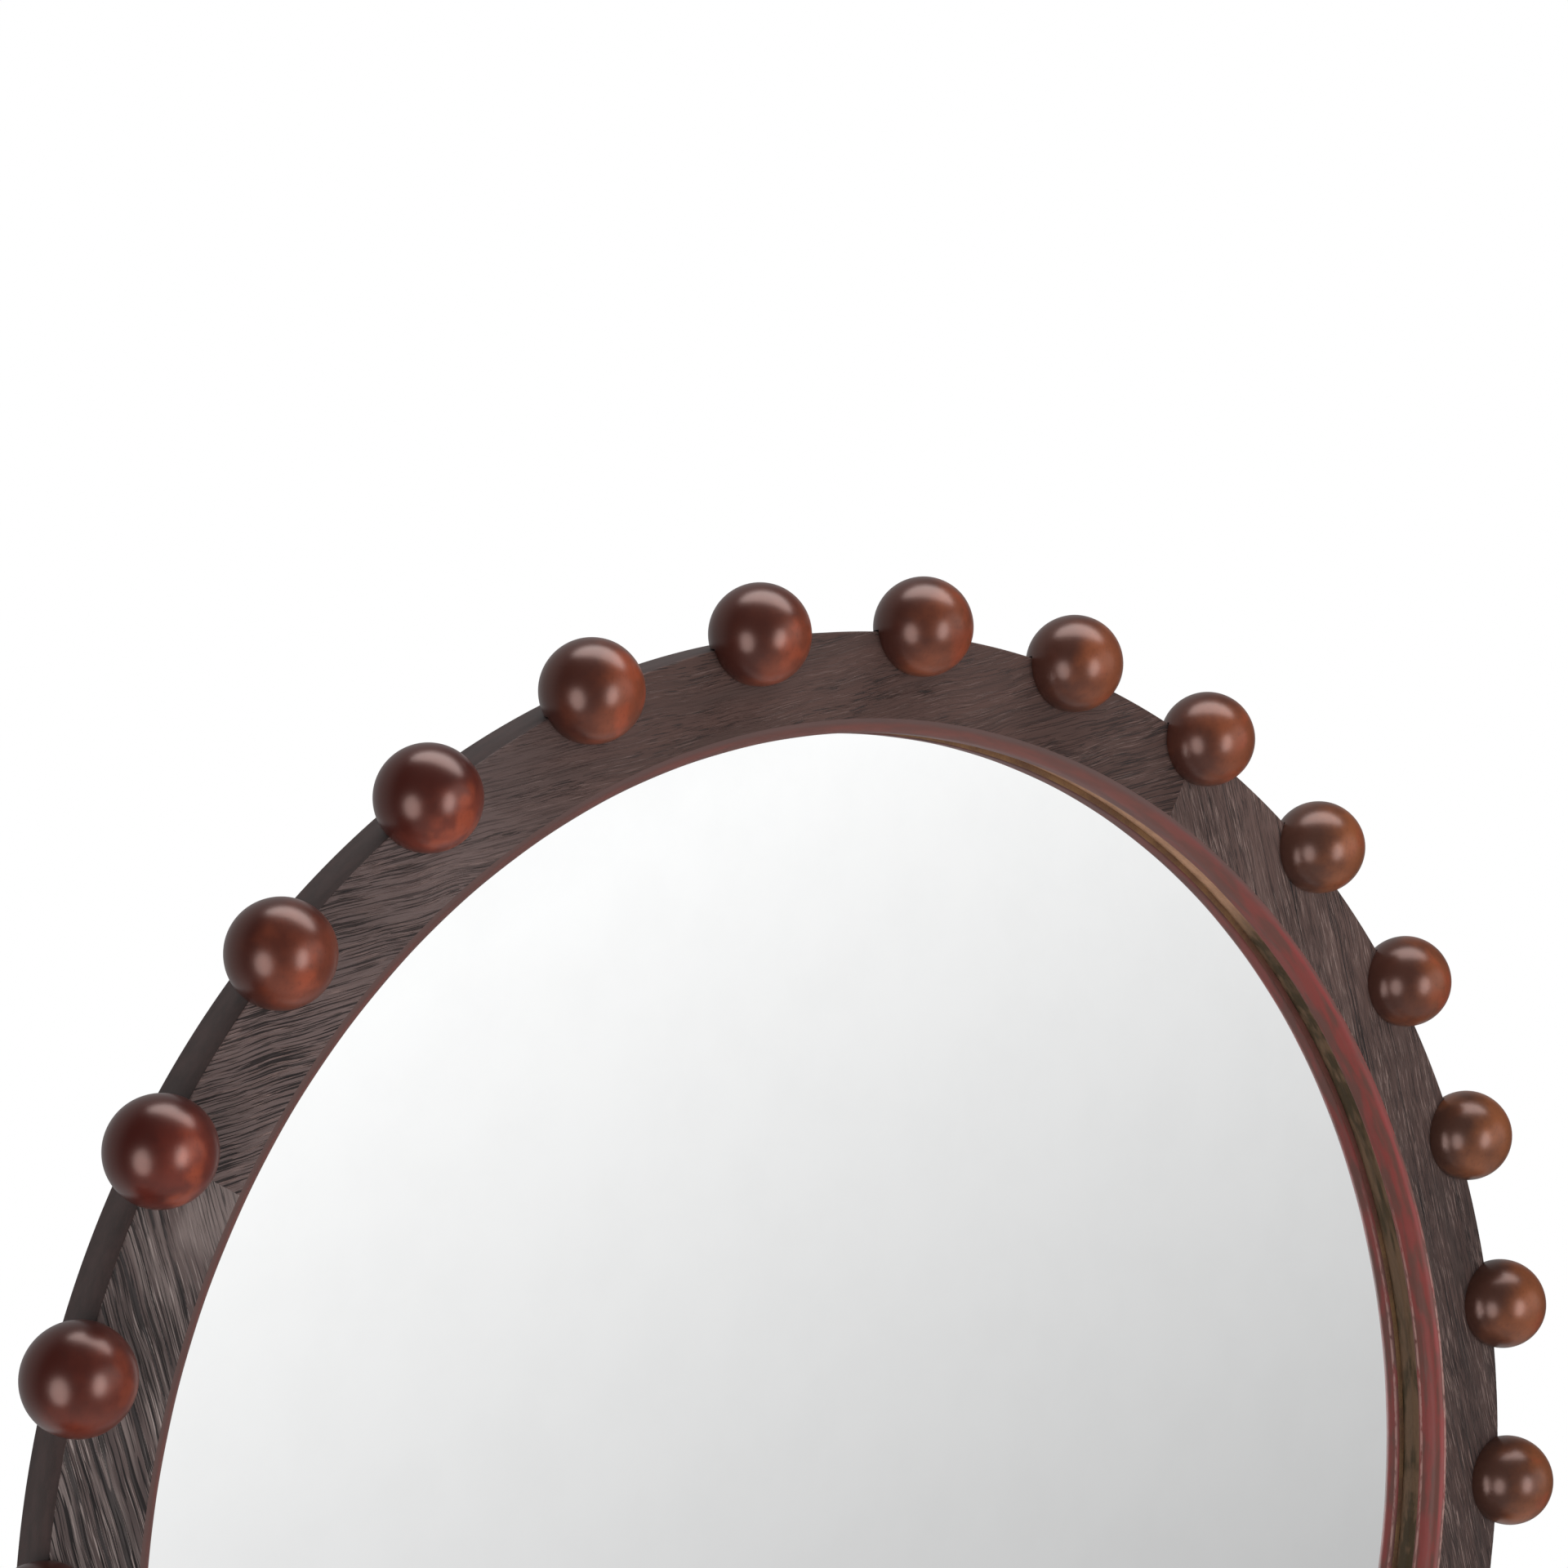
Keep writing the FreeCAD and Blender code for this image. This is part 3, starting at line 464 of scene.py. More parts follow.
# %% [markdown]
# ## Four boards with their own character
#
# The boards are not alike. The left one has long, coarse furrows, the top one is
# deeply brushed and wavy at its left end and nearly smooth in the middle, and the
# right one has short, fine lines. Each gets its own length, width, depth and
# waviness, and a few places where the brush worked harder or not at all.

# %% Boards
BALL_COUNT = 28
BALL_STEP = 360 / BALL_COUNT
FIRST_JOINT = 90 - 2 * BALL_STEP
GRAIN_TILT = FIRST_JOINT + 45 - 90
boards = {
    "top": dict(
        start=FIRST_JOINT, tilt=GRAIN_TILT - 4,
        length=30, width=1.00, depth=0.20, cover=0.68, wave=0.9, seed=11,
    ),
    "left": dict(
        start=FIRST_JOINT + 90, tilt=GRAIN_TILT + 90,
        length=34, width=1.15, depth=0.30, cover=0.74, wave=0.5, seed=23,
    ),
    "bottom": dict(
        start=FIRST_JOINT + 180, tilt=GRAIN_TILT + 180,
        length=20, width=0.9, depth=0.26, cover=0.76, wave=0.9, seed=37,
    ),
    "right": dict(
        start=FIRST_JOINT + 270, tilt=GRAIN_TILT + 270,
        length=10, width=0.75, depth=0.12, cover=0.68, wave=0.6, seed=41,
    ),
}


def bare_patch(turn, radius):
    """The smooth place of the left board beside its joint and the bead."""
    return (1 - ease(turn, 157, 161)) * (1 - ease(radius, 338, 348))


def brush_strength(name, turn, radius, along, across):
    """How hard each place of a board was brushed, from 0 to 1."""
    patches = 0.5 + 0.5 * soft_noise(along / 34, across / 12, 5)
    if name == "top":
        left_end = ease(turn, 117, 144)
        right_end = 1 - ease(turn, 68, 86)
        return np.clip(0.02 + 0.24 * patches + 0.74 * left_end + 0.50 * right_end, 0, 1)
    if name == "left":
        long_ribs = ease(turn, 160, 178)
        strength = np.clip(0.60 + 0.25 * patches + 0.3 * long_ribs, 0, 1)
        return strength * (1 - bare_patch(turn, radius))
    if name == "right":
        return np.clip(0.45 + 0.6 * patches, 0, 1)
    return np.clip(0.6 + 0.5 * patches, 0, 1)


def board_tone(name, turn, radius):
    """How pale a place is: 2 is rubbed bare, 1 is greyed, -1 is dark with oil."""
    if name == "top":
        return ease(turn, 108, 136) - (1 - ease(turn, 66, 84))
    if name == "right":
        turn = (turn + 180) % 360 - 180
        return 0.9 * ease(turn, 8, 48) - 0.5 * (1 - ease(turn, -20, 6))
    if name == "left":
        return 0.45 - 0.8 * ease(turn, 160, 186) + 1.5 * bare_patch(turn, radius)
    return np.zeros_like(turn)


# %% [markdown]
# ## Cutting the furrows
#
# Each board starts as a copy of the plain quarter, turned to its place. A furrow
# pushes the corners of the face back by up to the board's depth. It is shallower
# beside the bead, where a brush hardly reaches, and ends just behind the face.

# %% Copy the segment and cut its furrows
KNOT_LENGTH, KNOT_WIDTH = 17, 20
RIPPLE_LENGTH, RIPPLE_WIDTH, RIPPLE_SHARE = 6, 9, 0.14
segments = {}
for name, board in boards.items():
    segment = plain_segment.copy()
    segment.data = plain_segment.data.copy()
    segment.name = segment.data.name = "brushed_segment_" + name
    bpy.context.scene.collection.objects.link(segment)
    segment.data.transform(turn_about_ring(board["start"]))
    points = points_of(segment)
    x, depth, z = points[:, 0] / MM, points[:, 1] / MM, points[:, 2] / MM
    tilt = math.radians(board["tilt"])
    along = x * math.cos(tilt) + z * math.sin(tilt)
    across = z * math.cos(tilt) - x * math.sin(tilt)
    across = across + board["wave"] * soft_noise(
        along / KNOT_LENGTH, across / KNOT_WIDTH, board["seed"] + 7
    )
    across = across + RIPPLE_SHARE * board["wave"] * soft_noise(
        along / RIPPLE_LENGTH, across / RIPPLE_WIDTH, board["seed"] + 8
    )
    radius = np.hypot(x, z)
    turn = np.degrees(np.arctan2(z, x)) % 360
    strength = brush_strength(name, turn, radius, along, across)
    edges = ease(radius, 324.2, 326.5) * 0.6 + 0.4
    front = ease(-depth, 24.3, 24.95) * (radius > 324.1)
    furrow = furrows(
        along, across, board["length"], board["width"], board["cover"], board["seed"]
    )
    furrow = furrow * strength * edges * front
    points[:, 1] += furrow * board["depth"] * MM
    move_points(segment, points)
    keep_values(segment, "furrow", furrow)
    keep_values(segment, "brushed", strength)
    keep_values(segment, "tone", board_tone(name, turn, radius))
    grain_map = segment.data.uv_layers.new(name="grain")
    corner_of = np.empty(len(segment.data.loops), np.int64)
    segment.data.loops.foreach_get("vertex_index", corner_of)
    grain_map.data.foreach_set(
        "uv", np.stack([along, across], 1)[corner_of].astype(np.float32).ravel() * MM
    )
    segments[name] = segment
    print(segment.name, "furrow share", round(float((furrow > 0.3).mean()), 3))
bpy.data.objects.remove(plain_segment)

# %% [markdown]
# ## Which faces are face, wall, recess and back
#
# The stain differs over one board: the face and its edges are oiled and brushed,
# the outer wall is smooth and nearly black, the recess behind the bead is thinly
# stained, and the back is plain. The faces are told apart by where they lie and
# which way they look.

# %% Face groups of the segments
FACE_GROUP, WALL_GROUP, RECESS_GROUP, BACK_GROUP = groups = range(4)
FACE_LIMIT, BACK_LIMIT = -24.4, -4
for segment in segments.values():
    mesh = segment.data
    count = len(mesh.polygons)
    centre = np.empty(count * 3, np.float32)
    normal = np.empty(count * 3, np.float32)
    mesh.polygons.foreach_get("center", centre)
    mesh.polygons.foreach_get("normal", normal)
    centre, normal = centre.reshape(-1, 3) / MM, normal.reshape(-1, 3)
    reach = np.hypot(centre[:, 0], centre[:, 2])
    depth = centre[:, 1]
    group = np.full(count, WALL_GROUP)
    group[depth < FACE_LIMIT] = FACE_GROUP
    group[(reach < PANEL_RADIUS - 0.5) & (depth > FACE_LIMIT)] = RECESS_GROUP
    group[(normal[:, 1] > 0.6) & (depth > BACK_LIMIT)] = BACK_GROUP
    for _ in groups:
        mesh.materials.append(None)
    mesh.polygons.foreach_set("material_index", group.astype(np.int32))
    smooth(segment, 55)
    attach(segment, "frame")
for name, segment in segments.items():
    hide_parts("ring_segment_" + name)

# %% [markdown]
# ## The brushed wood finish
#
# Oiled dark wood is made of layers. The body colour drifts slowly along the grain
# and turns grey, dark or pale where the board's tone says so. Pale bands and fine
# pale hairs, with a pinkish grey cast, lie where the brush left hard grain
# standing. The stored furrow value darkens the bottoms of the furrows, where the
# stain gathers. Near-black lines of three kinds lie on top: long thin grooves,
# short dashes, and a few long marks. All of it reads the grain UV map, so it
# bends with the furrows.

# %% A place in the grain
def grain_place(finish, length, width, thick):
    """A place counted in features of the grain, whose length, width and thickness
    are in millimetres, from the piece's grain map."""
    u, v, _ = finish.parts(finish.add("ShaderNodeUVMap", {"uv_map": "grain"}))
    _, depth, _ = finish.parts(finish.object_place())
    return finish.joined(u / (length * MM), depth / (thick * MM), v / (width * MM))


# %% Brushed wood
def brushed_wood(name, colours, comb, dashes, hairs, bands, furrow_dark, long_marks):
    """The oiled face of one board. The colours are its body, its dark, its pale and
    its greyed brown. comb, dashes and hairs give the length, the width and the
    strength of its long grooves, short dark dashes and fine pale hairs."""
    body, dark, pale, greyed = (paint(*colour) for colour in colours)
    near_black = paint(28, 22, 22)
    finish = Finish(name)
    tone, brushed, furrow = (finish.stored(n) for n in ("tone", "brushed", "furrow"))

    def grain(length, width, thick, detail=2.0, roughness=0.6):
        place = grain_place(finish, length, width, thick)
        return finish.noise(place, 1.0, detail, roughness)

    drift = grain(60, 6, 2, 3.0)
    colour = finish.blend(finish.ease(drift, 0.3, 0.7), dark, body)
    colour = finish.blend(finish.ease(tone, 0.0, 1.0), colour, greyed)
    colour = finish.blend(finish.ease(0 - tone, 0.0, 1.0) * 0.85, colour, dark)
    colour = finish.blend(finish.ease(tone, 1.0, 2.0) * 0.35, colour, pale)

    wide = grain(80, 4.5, 3, 2.0, 0.5)
    colour = finish.blend(finish.ease(wide, 0.52, 0.66) * bands * brushed, colour, pale)
    fine = grain(9, 0.5, 3)
    colour = finish.blend(finish.ease(fine, 0.52, 0.36) * 0.30, colour, dark)
    hair_length, hair_width, hair_strength = hairs
    hair_field = finish.ease(grain(30, 5, 19, 1.0, 0.5), 0.34, 0.56)
    hair_lines = finish.ease(grain(hair_length, hair_width, 3), 0.54, 0.62) * hair_field
    hair_strength = hair_strength * (0.35 + 0.65 * brushed)
    colour = finish.blend(hair_lines * hair_strength, colour, pale)

    groove_length, groove_width, groove_strength = comb
    groove_noise = grain(groove_length, groove_width, 5, 1.0, 0.5)
    groove_strength = groove_strength * (0.08 + 0.92 * brushed)
    grooves = finish.ease(groove_noise, 0.565, 0.59) * groove_strength
    dash_length, dash_width, dash_strength = dashes
    dash_field = finish.ease(grain(45, 8, 11, 1.5, 0.5), 0.42, 0.58)
    dash_noise = grain(dash_length, dash_width, 9, 1.5, 0.55)
    dash_lines = finish.ease(dash_noise, 0.59, 0.64) * dash_field * dash_strength
    mark_field = finish.ease(grain(120, 5, 17, 1.0, 0.5), 0.46, 0.56)
    mark_lines = finish.ease(grain(75, 0.7, 13), 0.57, 0.63) * mark_field * long_marks
    furrow_share = finish.ease(furrow, 0.30, 0.60) * furrow_dark
    for share in (furrow_share, grooves, dash_lines, mark_lines):
        colour = finish.blend(share, colour, near_black)
    finish.use(
        Base_Color=colour,
        Roughness=0.66 - hair_lines * 0.12 + grooves * 0.2,
        Specular_IOR_Level=0.45,
    )
    relief = hair_lines * 0.5 + fine * 0.6 - grooves - dash_lines - mark_lines
    finish.relief(relief, 0.25 * MM)
    return finish


# %% [markdown]
# ## The four faces
#
# The left board is coarse and rubbed grey, the top one is warm and dark with soft
# lines, the bottom one lies between them, and the right one has short grooves and
# a few strong marks.

# %% Face finishes
face_finishes = {
    "top": brushed_wood(
        "brushed_wood_top",
        ((85, 58, 51), (74, 51, 45), (136, 110, 103), (107, 89, 86)),
        comb=(34, 0.66, 0.95), dashes=(11, 0.45, 0.70), hairs=(14, 0.42, 0.66),
        bands=0.10, furrow_dark=0.20, long_marks=0.2,
    ),
    "left": brushed_wood(
        "brushed_wood_left",
        ((86, 70, 67), (66, 53, 51), (166, 150, 145), (92, 76, 73)),
        comb=(42, 0.78, 1.0), dashes=(16, 0.45, 0.75), hairs=(24, 0.40, 1.0),
        bands=0.40, furrow_dark=0.80, long_marks=0.6,
    ),
    "bottom": brushed_wood(
        "brushed_wood_bottom",
        ((87, 69, 64), (68, 54, 49), (138, 118, 112), (100, 84, 80)),
        comb=(34, 0.72, 0.90), dashes=(12, 0.5, 0.7), hairs=(14, 0.42, 0.65),
        bands=0.25, furrow_dark=0.50, long_marks=0.4,
    ),
    "right": brushed_wood(
        "brushed_wood_right",
        ((81, 60, 55), (64, 48, 44), (160, 135, 127), (96, 73, 67)),
        comb=(16, 0.50, 0.50), dashes=(9, 0.45, 0.65), hairs=(11, 0.45, 0.75),
        bands=0.10, furrow_dark=0.20, long_marks=1.0,
    ),
}
print("face finishes:", len(face_finishes))

# %% [markdown]
# ## Wall, recess and back of the ring
#
# The outer wall was sanded smooth before it was stained, so it only shows faint
# lines. The recess got a thin coat that let the yellow of the wood through in
# streaks, painted paler than the wood, partly as painted light thrown in from the
# bead. On the ring's right side below the upper joint the recess is darker, partly
# as darker stain and partly as painted shade. The back was sealed once and left.

# %% Plain parts of the boards
def stained_wood(name, body, dark, roughness, depth, dark_stain_and_shade_colour=None):
    """Smooth stained wood with faint lines along the grain. The last colour, if given,
    is the colour of the ring's right side below its upper joint: a darker stain
    there together with painted shade."""
    finish = Finish(name)
    drift = finish.noise(grain_place(finish, 45, 6, 6), 1.0, 3.0, 0.6)
    lines = finish.noise(grain_place(finish, 14, 0.6, 0.8), 1.0, 2.0, 0.6)
    streaks = finish.ease(drift * 0.6 + lines * 0.4, 0.35, 0.65)
    colour = finish.blend(streaks, dark, body)
    if dark_stain_and_shade_colour:
        here = finish.object_place()
        x, _, _ = finish.parts(here)
        uneven = (finish.noise(here, 25.0, 2.0, 0.5) - 0.5) * 60 * MM
        streaky = 0.75 + 0.25 * finish.ease(drift, 0.4, 0.6)
        # Painted shade, with darker stain: the right side below the upper joint is
        # darker.
        stain_and_shade_share = finish.ease(x + uneven, 175 * MM, 225 * MM) * streaky
        colour = finish.blend(stain_and_shade_share, colour, dark_stain_and_shade_colour)
    finish.use(
        Base_Color=colour, Roughness=roughness + lines * 0.12, Specular_IOR_Level=0.4
    )
    finish.relief(lines, depth)
    return finish


wall_finish = stained_wood(
    "outer_wall_stain", paint(69, 49, 46), paint(53, 38, 35), 0.5, 0.05 * MM
)
# The pale recess colours are partly painted light, for light thrown in from the bead;
# the dark colour is partly painted shade.
recess_finish = stained_wood(
    "recess_stain_and_painted_light", paint(196, 152, 122), paint(172, 130, 102), 0.6, 0.08 * MM,
    dark_stain_and_shade_colour=paint(70, 56, 34),
)
back_finish = stained_wood(
    "back_sealed_wood", paint(96, 76, 62), paint(74, 57, 47), 0.65, 0.08 * MM
)
for name, segment in segments.items():
    dress(segment, face_finishes[name], wall_finish, recess_finish, back_finish)
print("boards dressed:", len(segments))

# %% [markdown]
# ## The bead round the opening
#
# The bead is a thin rounded moulding, let into the ring a quarter of a millimetre
# under the face. Its section is one long curve from the face down to the lip, a
# small roll at the back, and a flat back that faces the glass. It is turned in 900
# steps, and then made very slightly uneven, as hand sanding leaves it, because a
# perfect moulding gives a perfect highlight that no real one has.

# %% Bead
LIP, BEAD_STEPS = 318.4, 900
NOSE, NOSE_DEPTH, NOSE_START, NOSE_ARC = 6.2675, -18.5, 261.58, 8.92
bead_section = [
    (324.3, -24.78),
    (323.95, -24.78),
    *corner_round(LIP + NOSE, NOSE_DEPTH, NOSE, NOSE_START, 180, 14),
    (LIP, -17.0),
    (LIP, -15.5),
    *corner_round(319.2, -14.2, 0.8, 180, 90, 4),
    (321.4, -13.4),
    (323.75, -13.4),
    (323.75, -19.0),
]
bead = draw_section("bead_moulding", bead_section)
turn_section(bead, 360, BEAD_STEPS)
close_mesh(bead)
print("bead:", len(bead.data.polygons), "faces")

# %% [markdown]
# ## Hand sanding
#
# Two fields come from each corner's place. The first is the way along the surface
# from the face to the corner, which the finish reads too. The second is a sum of
# three waves round the ring, which leans with the first. It moves the nose in and
# out by about a tenth of a millimetre, and leaves the hidden edge alone.

# %% Sand the bead
points = points_of(bead)
turn = np.arctan2(points[:, 2], points[:, 0])
reach = np.hypot(points[:, 0], points[:, 2])
bend = np.arctan2(points[:, 1] / MM - NOSE_DEPTH, reach / MM - LIP - NOSE)
from_face = np.where(
    points[:, 1] < (NOSE_DEPTH + 0.01) * MM,
    NOSE * (math.radians(NOSE_START) - bend % (2 * math.pi)),
    NOSE_ARC + points[:, 1] / MM - NOSE_DEPTH,
)
sanding_waves = ((0.05, 9, 0.4, 1), (0.04, 23, 2.1, 2), (0.025, 57, 4.0, 1))
wobble = sum(
    size * np.sin(turn * waves + start + from_face / 4 * lean)
    for size, waves, start, lean in sanding_waves
)
shown = ease(323.6 - reach / MM, 0.0, 2.0)
points[:, [0, 2]] *= (1 + wobble * shown * MM / reach)[:, None]
move_points(bead, points)
keep_values(bead, "from_face", from_face)
smooth(bead, 40)
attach(bead, "frame")
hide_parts("inner_bead")
print("sanded by up to", round(float(np.abs(wobble).max()), 3), "mm")

# %% [markdown]
# ## The bead's finish
#
# A red-brown stain under satin lacquer. The stain gathers in the corner beside
# the face, where a thin line stays deep red, and along the bead it comes and goes
# in patches a few centimetres long. At the lower right a thin pale painted
# highlight runs along the arris beside the face and along the lip. The back,
# which is only seen in the glass, is bare yellow wood with stain run over parts.

# %% Bead finish
def bead_stain_and_painted_highlight():
    """The bead's front: its red grows towards the right of the mirror, and a painted
    highlight runs along its arris and lip at the lower right.
    """
    finish = Finish("bead_red_stain_painted_highlight")
    x, _, z = finish.parts(finish.object_place())
    from_face = finish.stored("from_face")

    def ring_place(length, width):
        return finish.joined(x / (length * MM), from_face / width, z / (length * MM))

    right = finish.ease(x, 90 * MM, 290 * MM)
    patches = finish.noise(ring_place(24, 5.0), 1.0, 2.5, 0.6)
    streaks = finish.noise(ring_place(16, 1.1), 1.0, 2.0, 0.6)
    body = finish.blend(
        finish.ease(patches, 0.38, 0.62), paint(102, 64, 58), paint(114, 66, 59)
    )
    red_body = finish.blend(
        finish.ease(patches, 0.40, 0.60), paint(98, 53, 43), paint(128, 46, 40)
    )
    colour = finish.blend(right, body, red_body)
    streak_share = finish.ease(streaks, 0.48, 0.68) * 0.25
    colour = finish.blend(streak_share, colour, paint(114, 66, 56))
    beside = 1 - finish.ease(from_face, 0.6, 3.2)
    colour = finish.blend(beside * (1 - right) * 0.8, colour, paint(90, 68, 64))
    deep = finish.ease(from_face, 0.7, 1.3) * (1 - finish.ease(from_face, 2.2, 3.2))
    red_field = finish.noise(ring_place(40, 30.0), 1.0, 1.5, 0.5)
    deep_red = deep * right * (0.35 + 0.65 * finish.ease(red_field, 0.42, 0.56))
    colour = finish.blend(deep_red * 0.85, colour, paint(144, 42, 40))
    # Painted highlight: a pale pink line on the arris beside the face and on the lip,
    # only on the lower right, broken up by noise.
    highlight_breaks = finish.noise(ring_place(5, 2.0), 1.0, 2.0, 0.6)
    arris = 1 - finish.ease(from_face, 0.45, 0.8)
    lip = finish.ease(from_face, 11.3, 11.9) * (1 - finish.ease(from_face, 12.7, 13.1))
    low = 1 - finish.ease(z, 70 * MM, 150 * MM)
    painted_highlight = right * low * finish.ease(highlight_breaks, 0.3, 0.6)
    colour = finish.blend((arris + lip) * painted_highlight * 0.75, colour, paint(178, 136, 128))
    finish.use(
        Base_Color=colour,
        Roughness=0.48 + streaks * 0.14,
        Coat_Weight=0.16,
        Coat_Roughness=0.32,
        Specular_IOR_Level=0.45,
    )
    finish.relief(streaks * 0.5 + patches * 0.5, 0.05 * MM)
    return finish


# %% Bare back of the bead
bare = Finish("bead_bare_back")
here = bare.object_place()
_, _, height = bare.parts(here)
grit = bare.noise(here, 900.0, 2.0, 0.6)
tone = bare.ease(bare.noise(here, 60.0, 3.0, 0.6) * 0.7 + grit * 0.3, 0.35, 0.65)
stain_starts = bare.ease(height, 100 * MM, 130 * MM)
stained = stain_starts * (1 - bare.ease(height, 222 * MM, 250 * MM))
yellow = bare.blend(tone, paint(136, 104, 82), paint(176, 138, 98))
bare.use(
    Base_Color=bare.blend(stained, yellow, paint(150, 96, 86)),
    Roughness=0.6 + grit * 0.15,
)
dress(bead, bead_stain_and_painted_highlight(), bare)
bare_faces = 0
for face in bead.data.polygons:
    face.material_index = int(face.normal.y > 0.9 and face.center.y > -13.6 * MM)
    bare_faces += face.material_index
print("bare faces behind the bead:", bare_faces)

# %% [markdown]
# ## One ball
#
# A ball is a 40 mm sphere with a square notch that fits over the corner of the
# ring. An even ball without poles comes from an icosphere, whose faces are all
# alike, and the notch is cut with a boolean, as a saw would cut it. The ball is
# made at the right hand side of the ring and copied round it.

# %% Ball
BALL_RADIUS = 20
BALL_CENTRE = Vector((361.0 * MM, -29.0 * MM, 0))
NOTCH_SIDE = 358.4
bpy.ops.object.select_all(action="DESELECT")
bpy.ops.mesh.primitive_ico_sphere_add(
    subdivisions=6, radius=BALL_RADIUS * MM, location=BALL_CENTRE
)
plain_ball = bpy.context.object
plain_ball.name = "plain_ball"
bpy.ops.object.transform_apply(location=True, rotation=True, scale=True)
bpy.ops.mesh.primitive_cube_add(
    size=2 * BALL_RADIUS * MM,
    location=((NOTCH_SIDE - BALL_RADIUS) * MM, (RING_FACE + BALL_RADIUS) * MM, 0),
)
notch = bpy.context.object
notch.scale.z = 1.05
bpy.ops.object.transform_apply(location=True, rotation=True, scale=True)
cut = plain_ball.modifiers.new("notch", "BOOLEAN")
cut.operation = "DIFFERENCE"
cut.solver = "EXACT"
cut.object = notch
choose(plain_ball)
bpy.ops.object.modifier_apply(modifier="notch")
bpy.data.objects.remove(notch)
print("plain ball:", len(plain_ball.data.polygons), "faces")

# %% [markdown]
# ## Twenty-eight balls
#
# No two turned balls are quite alike. Each copy is pushed in and out by less than
# a tenth of a millimetre, which bends its highlights a little. It carries a number
# that says how brown its stain is, because the balls at the left of the picture
# are redder and those at the right browner, and one for painted light: it grows
# towards the right and below on every ball, with stain clouds mixed in, and the
# finish paints the ball lighter there.

# %% Copy the balls round the ring
LUMP_HEIGHT = 0.06
balls = []
for number in range(BALL_COUNT):
    place = 90 - number * BALL_STEP
    ball = plain_ball.copy()
    ball.data = plain_ball.data.copy()
    ball.name = ball.data.name = "lacquered_ball_%02d" % (number + 1)
    bpy.context.scene.collection.objects.link(ball)
    ball.data.transform(turn_about_ring(place))
    centre = np.array(turn_about_ring(place) @ BALL_CENTRE)
    points = points_of(ball)
    out = (points - centre) / (BALL_RADIUS * MM)
    x, y, z = out.T
    lumps = soft_noise(x * 1.6 + number * 9, z * 1.6 + y * 0.7, 3)
    lumps += 0.5 * soft_noise(y * 2.6 + number * 5, x * 2.6 - z, 4)
    round_part = np.abs(np.linalg.norm(out, axis=1) - 1) < 0.001
    points += out * (lumps * round_part * LUMP_HEIGHT * MM)[:, None]
    move_points(ball, points)
    brown = 0.5 + 0.5 * math.cos(math.radians(place))
    brown = min(max(0.1 + 0.8 * brown + 0.12 * math.sin(number * 2.7), 0), 1)
    keep_values(ball, "brown", np.full(len(points), brown))
    # Painted light: each ball is made lighter towards the right and below, the same way
    # on every ball, with stain clouds mixed in.
    cloud = 0.6 * soft_noise(x * 1.3 + number * 7, z * 1.3 + y, 8)
    painted_light_direction = np.array([0.55 + 0.25 * brown, -0.40, -0.62 + 0.75 * brown])
    keep_values(ball, "painted_light_and_clouds", out @ painted_light_direction + cloud * 0.5)
    smooth(ball, 30)
    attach(ball, "frame")
    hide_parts("ball_%02d" % (number + 1))
    balls.append(ball)
bpy.data.objects.remove(plain_ball)
print("balls:", len(balls))

# %% [markdown]
# ## Lacquered ball finish
#
# Under the lacquer the stain is uneven: dark mahogany where it soaked in, red and
# orange-brown where it did not. These clouds are a few millimetres to a centimetre
# across and have soft edges. Faint end grain shows through them. Painted light lies
# over the clouds: each ball is painted lighter and more orange towards the right
# and below, with a warm painted glow there, and darker at its upper left. The
# lamps show twice in the same soft spots: white from the lacquer's coat, and
# warm from the stained wood just under it, which a tinted gloss stands for.

# %% Ball finish
ball_finish = Finish("ball_lacquer")
here = ball_finish.object_place()
elsewhere = ball_finish.add(
    "ShaderNodeMapping", sockets={"Vector": here, "Location": (3.1, 1.7, 5.3)}
)
along_grain = ball_finish.stretched(here, (1.0, 0.12, 0.6))
clouds = ball_finish.noise(here, 52.0, 3.0, 0.55)
painted_glow_clouds = ball_finish.noise(elsewhere, 80.0, 2.0, 0.5)
grain_lines = ball_finish.noise(along_grain, 900.0, 2.0, 0.6)
brown, painted_light_and_clouds = ball_finish.stored("brown"), ball_finish.stored("painted_light_and_clouds")
# The stain opens with its clouds and with the painted light side, so each ball is
# painted lighter towards the right and below.
stain_opening_and_painted_light = ball_finish.ease(painted_light_and_clouds + brown * 0.40 + (clouds - 0.5) * 1.7, -0.25, 1.05)
red_stain_and_painted_light = ball_finish.blend(stain_opening_and_painted_light, paint(64, 19, 15), paint(112, 42, 33))
brown_stain_and_painted_light = ball_finish.blend(stain_opening_and_painted_light, paint(70, 46, 37), paint(150, 88, 53))
ball_stain_and_painted_light = ball_finish.blend(brown, red_stain_and_painted_light, brown_stain_and_painted_light)
# Painted light: a warm orange glow painted on the lit side of each ball, in soft
# clouds.
painted_glow = ball_finish.ease(painted_glow_clouds, 0.48, 0.70) * ball_finish.ease(painted_light_and_clouds, 0.1, 0.8)
ball_stain_and_painted_light = ball_finish.blend(painted_glow * 0.65, ball_stain_and_painted_light, paint(172, 78, 48))
ball_stain_and_painted_light = ball_finish.blend(
    ball_finish.ease(grain_lines, 0.52, 0.68) * 0.16, ball_stain_and_painted_light, paint(52, 26, 23)
)
ball_finish.use(
    Base_Color=ball_stain_and_painted_light,
    Roughness=0.31,
    Specular_IOR_Level=0.60,
    Specular_Tint=(1.0, 0.52, 0.42, 1.0),
    Coat_Weight=0.40,
    Coat_Roughness=0.27,
    Coat_IOR=1.55,
)
ball_finish.relief(grain_lines * 0.3 + clouds * 0.7, 0.03 * MM)
for ball in balls:
    dress(ball, ball_finish)

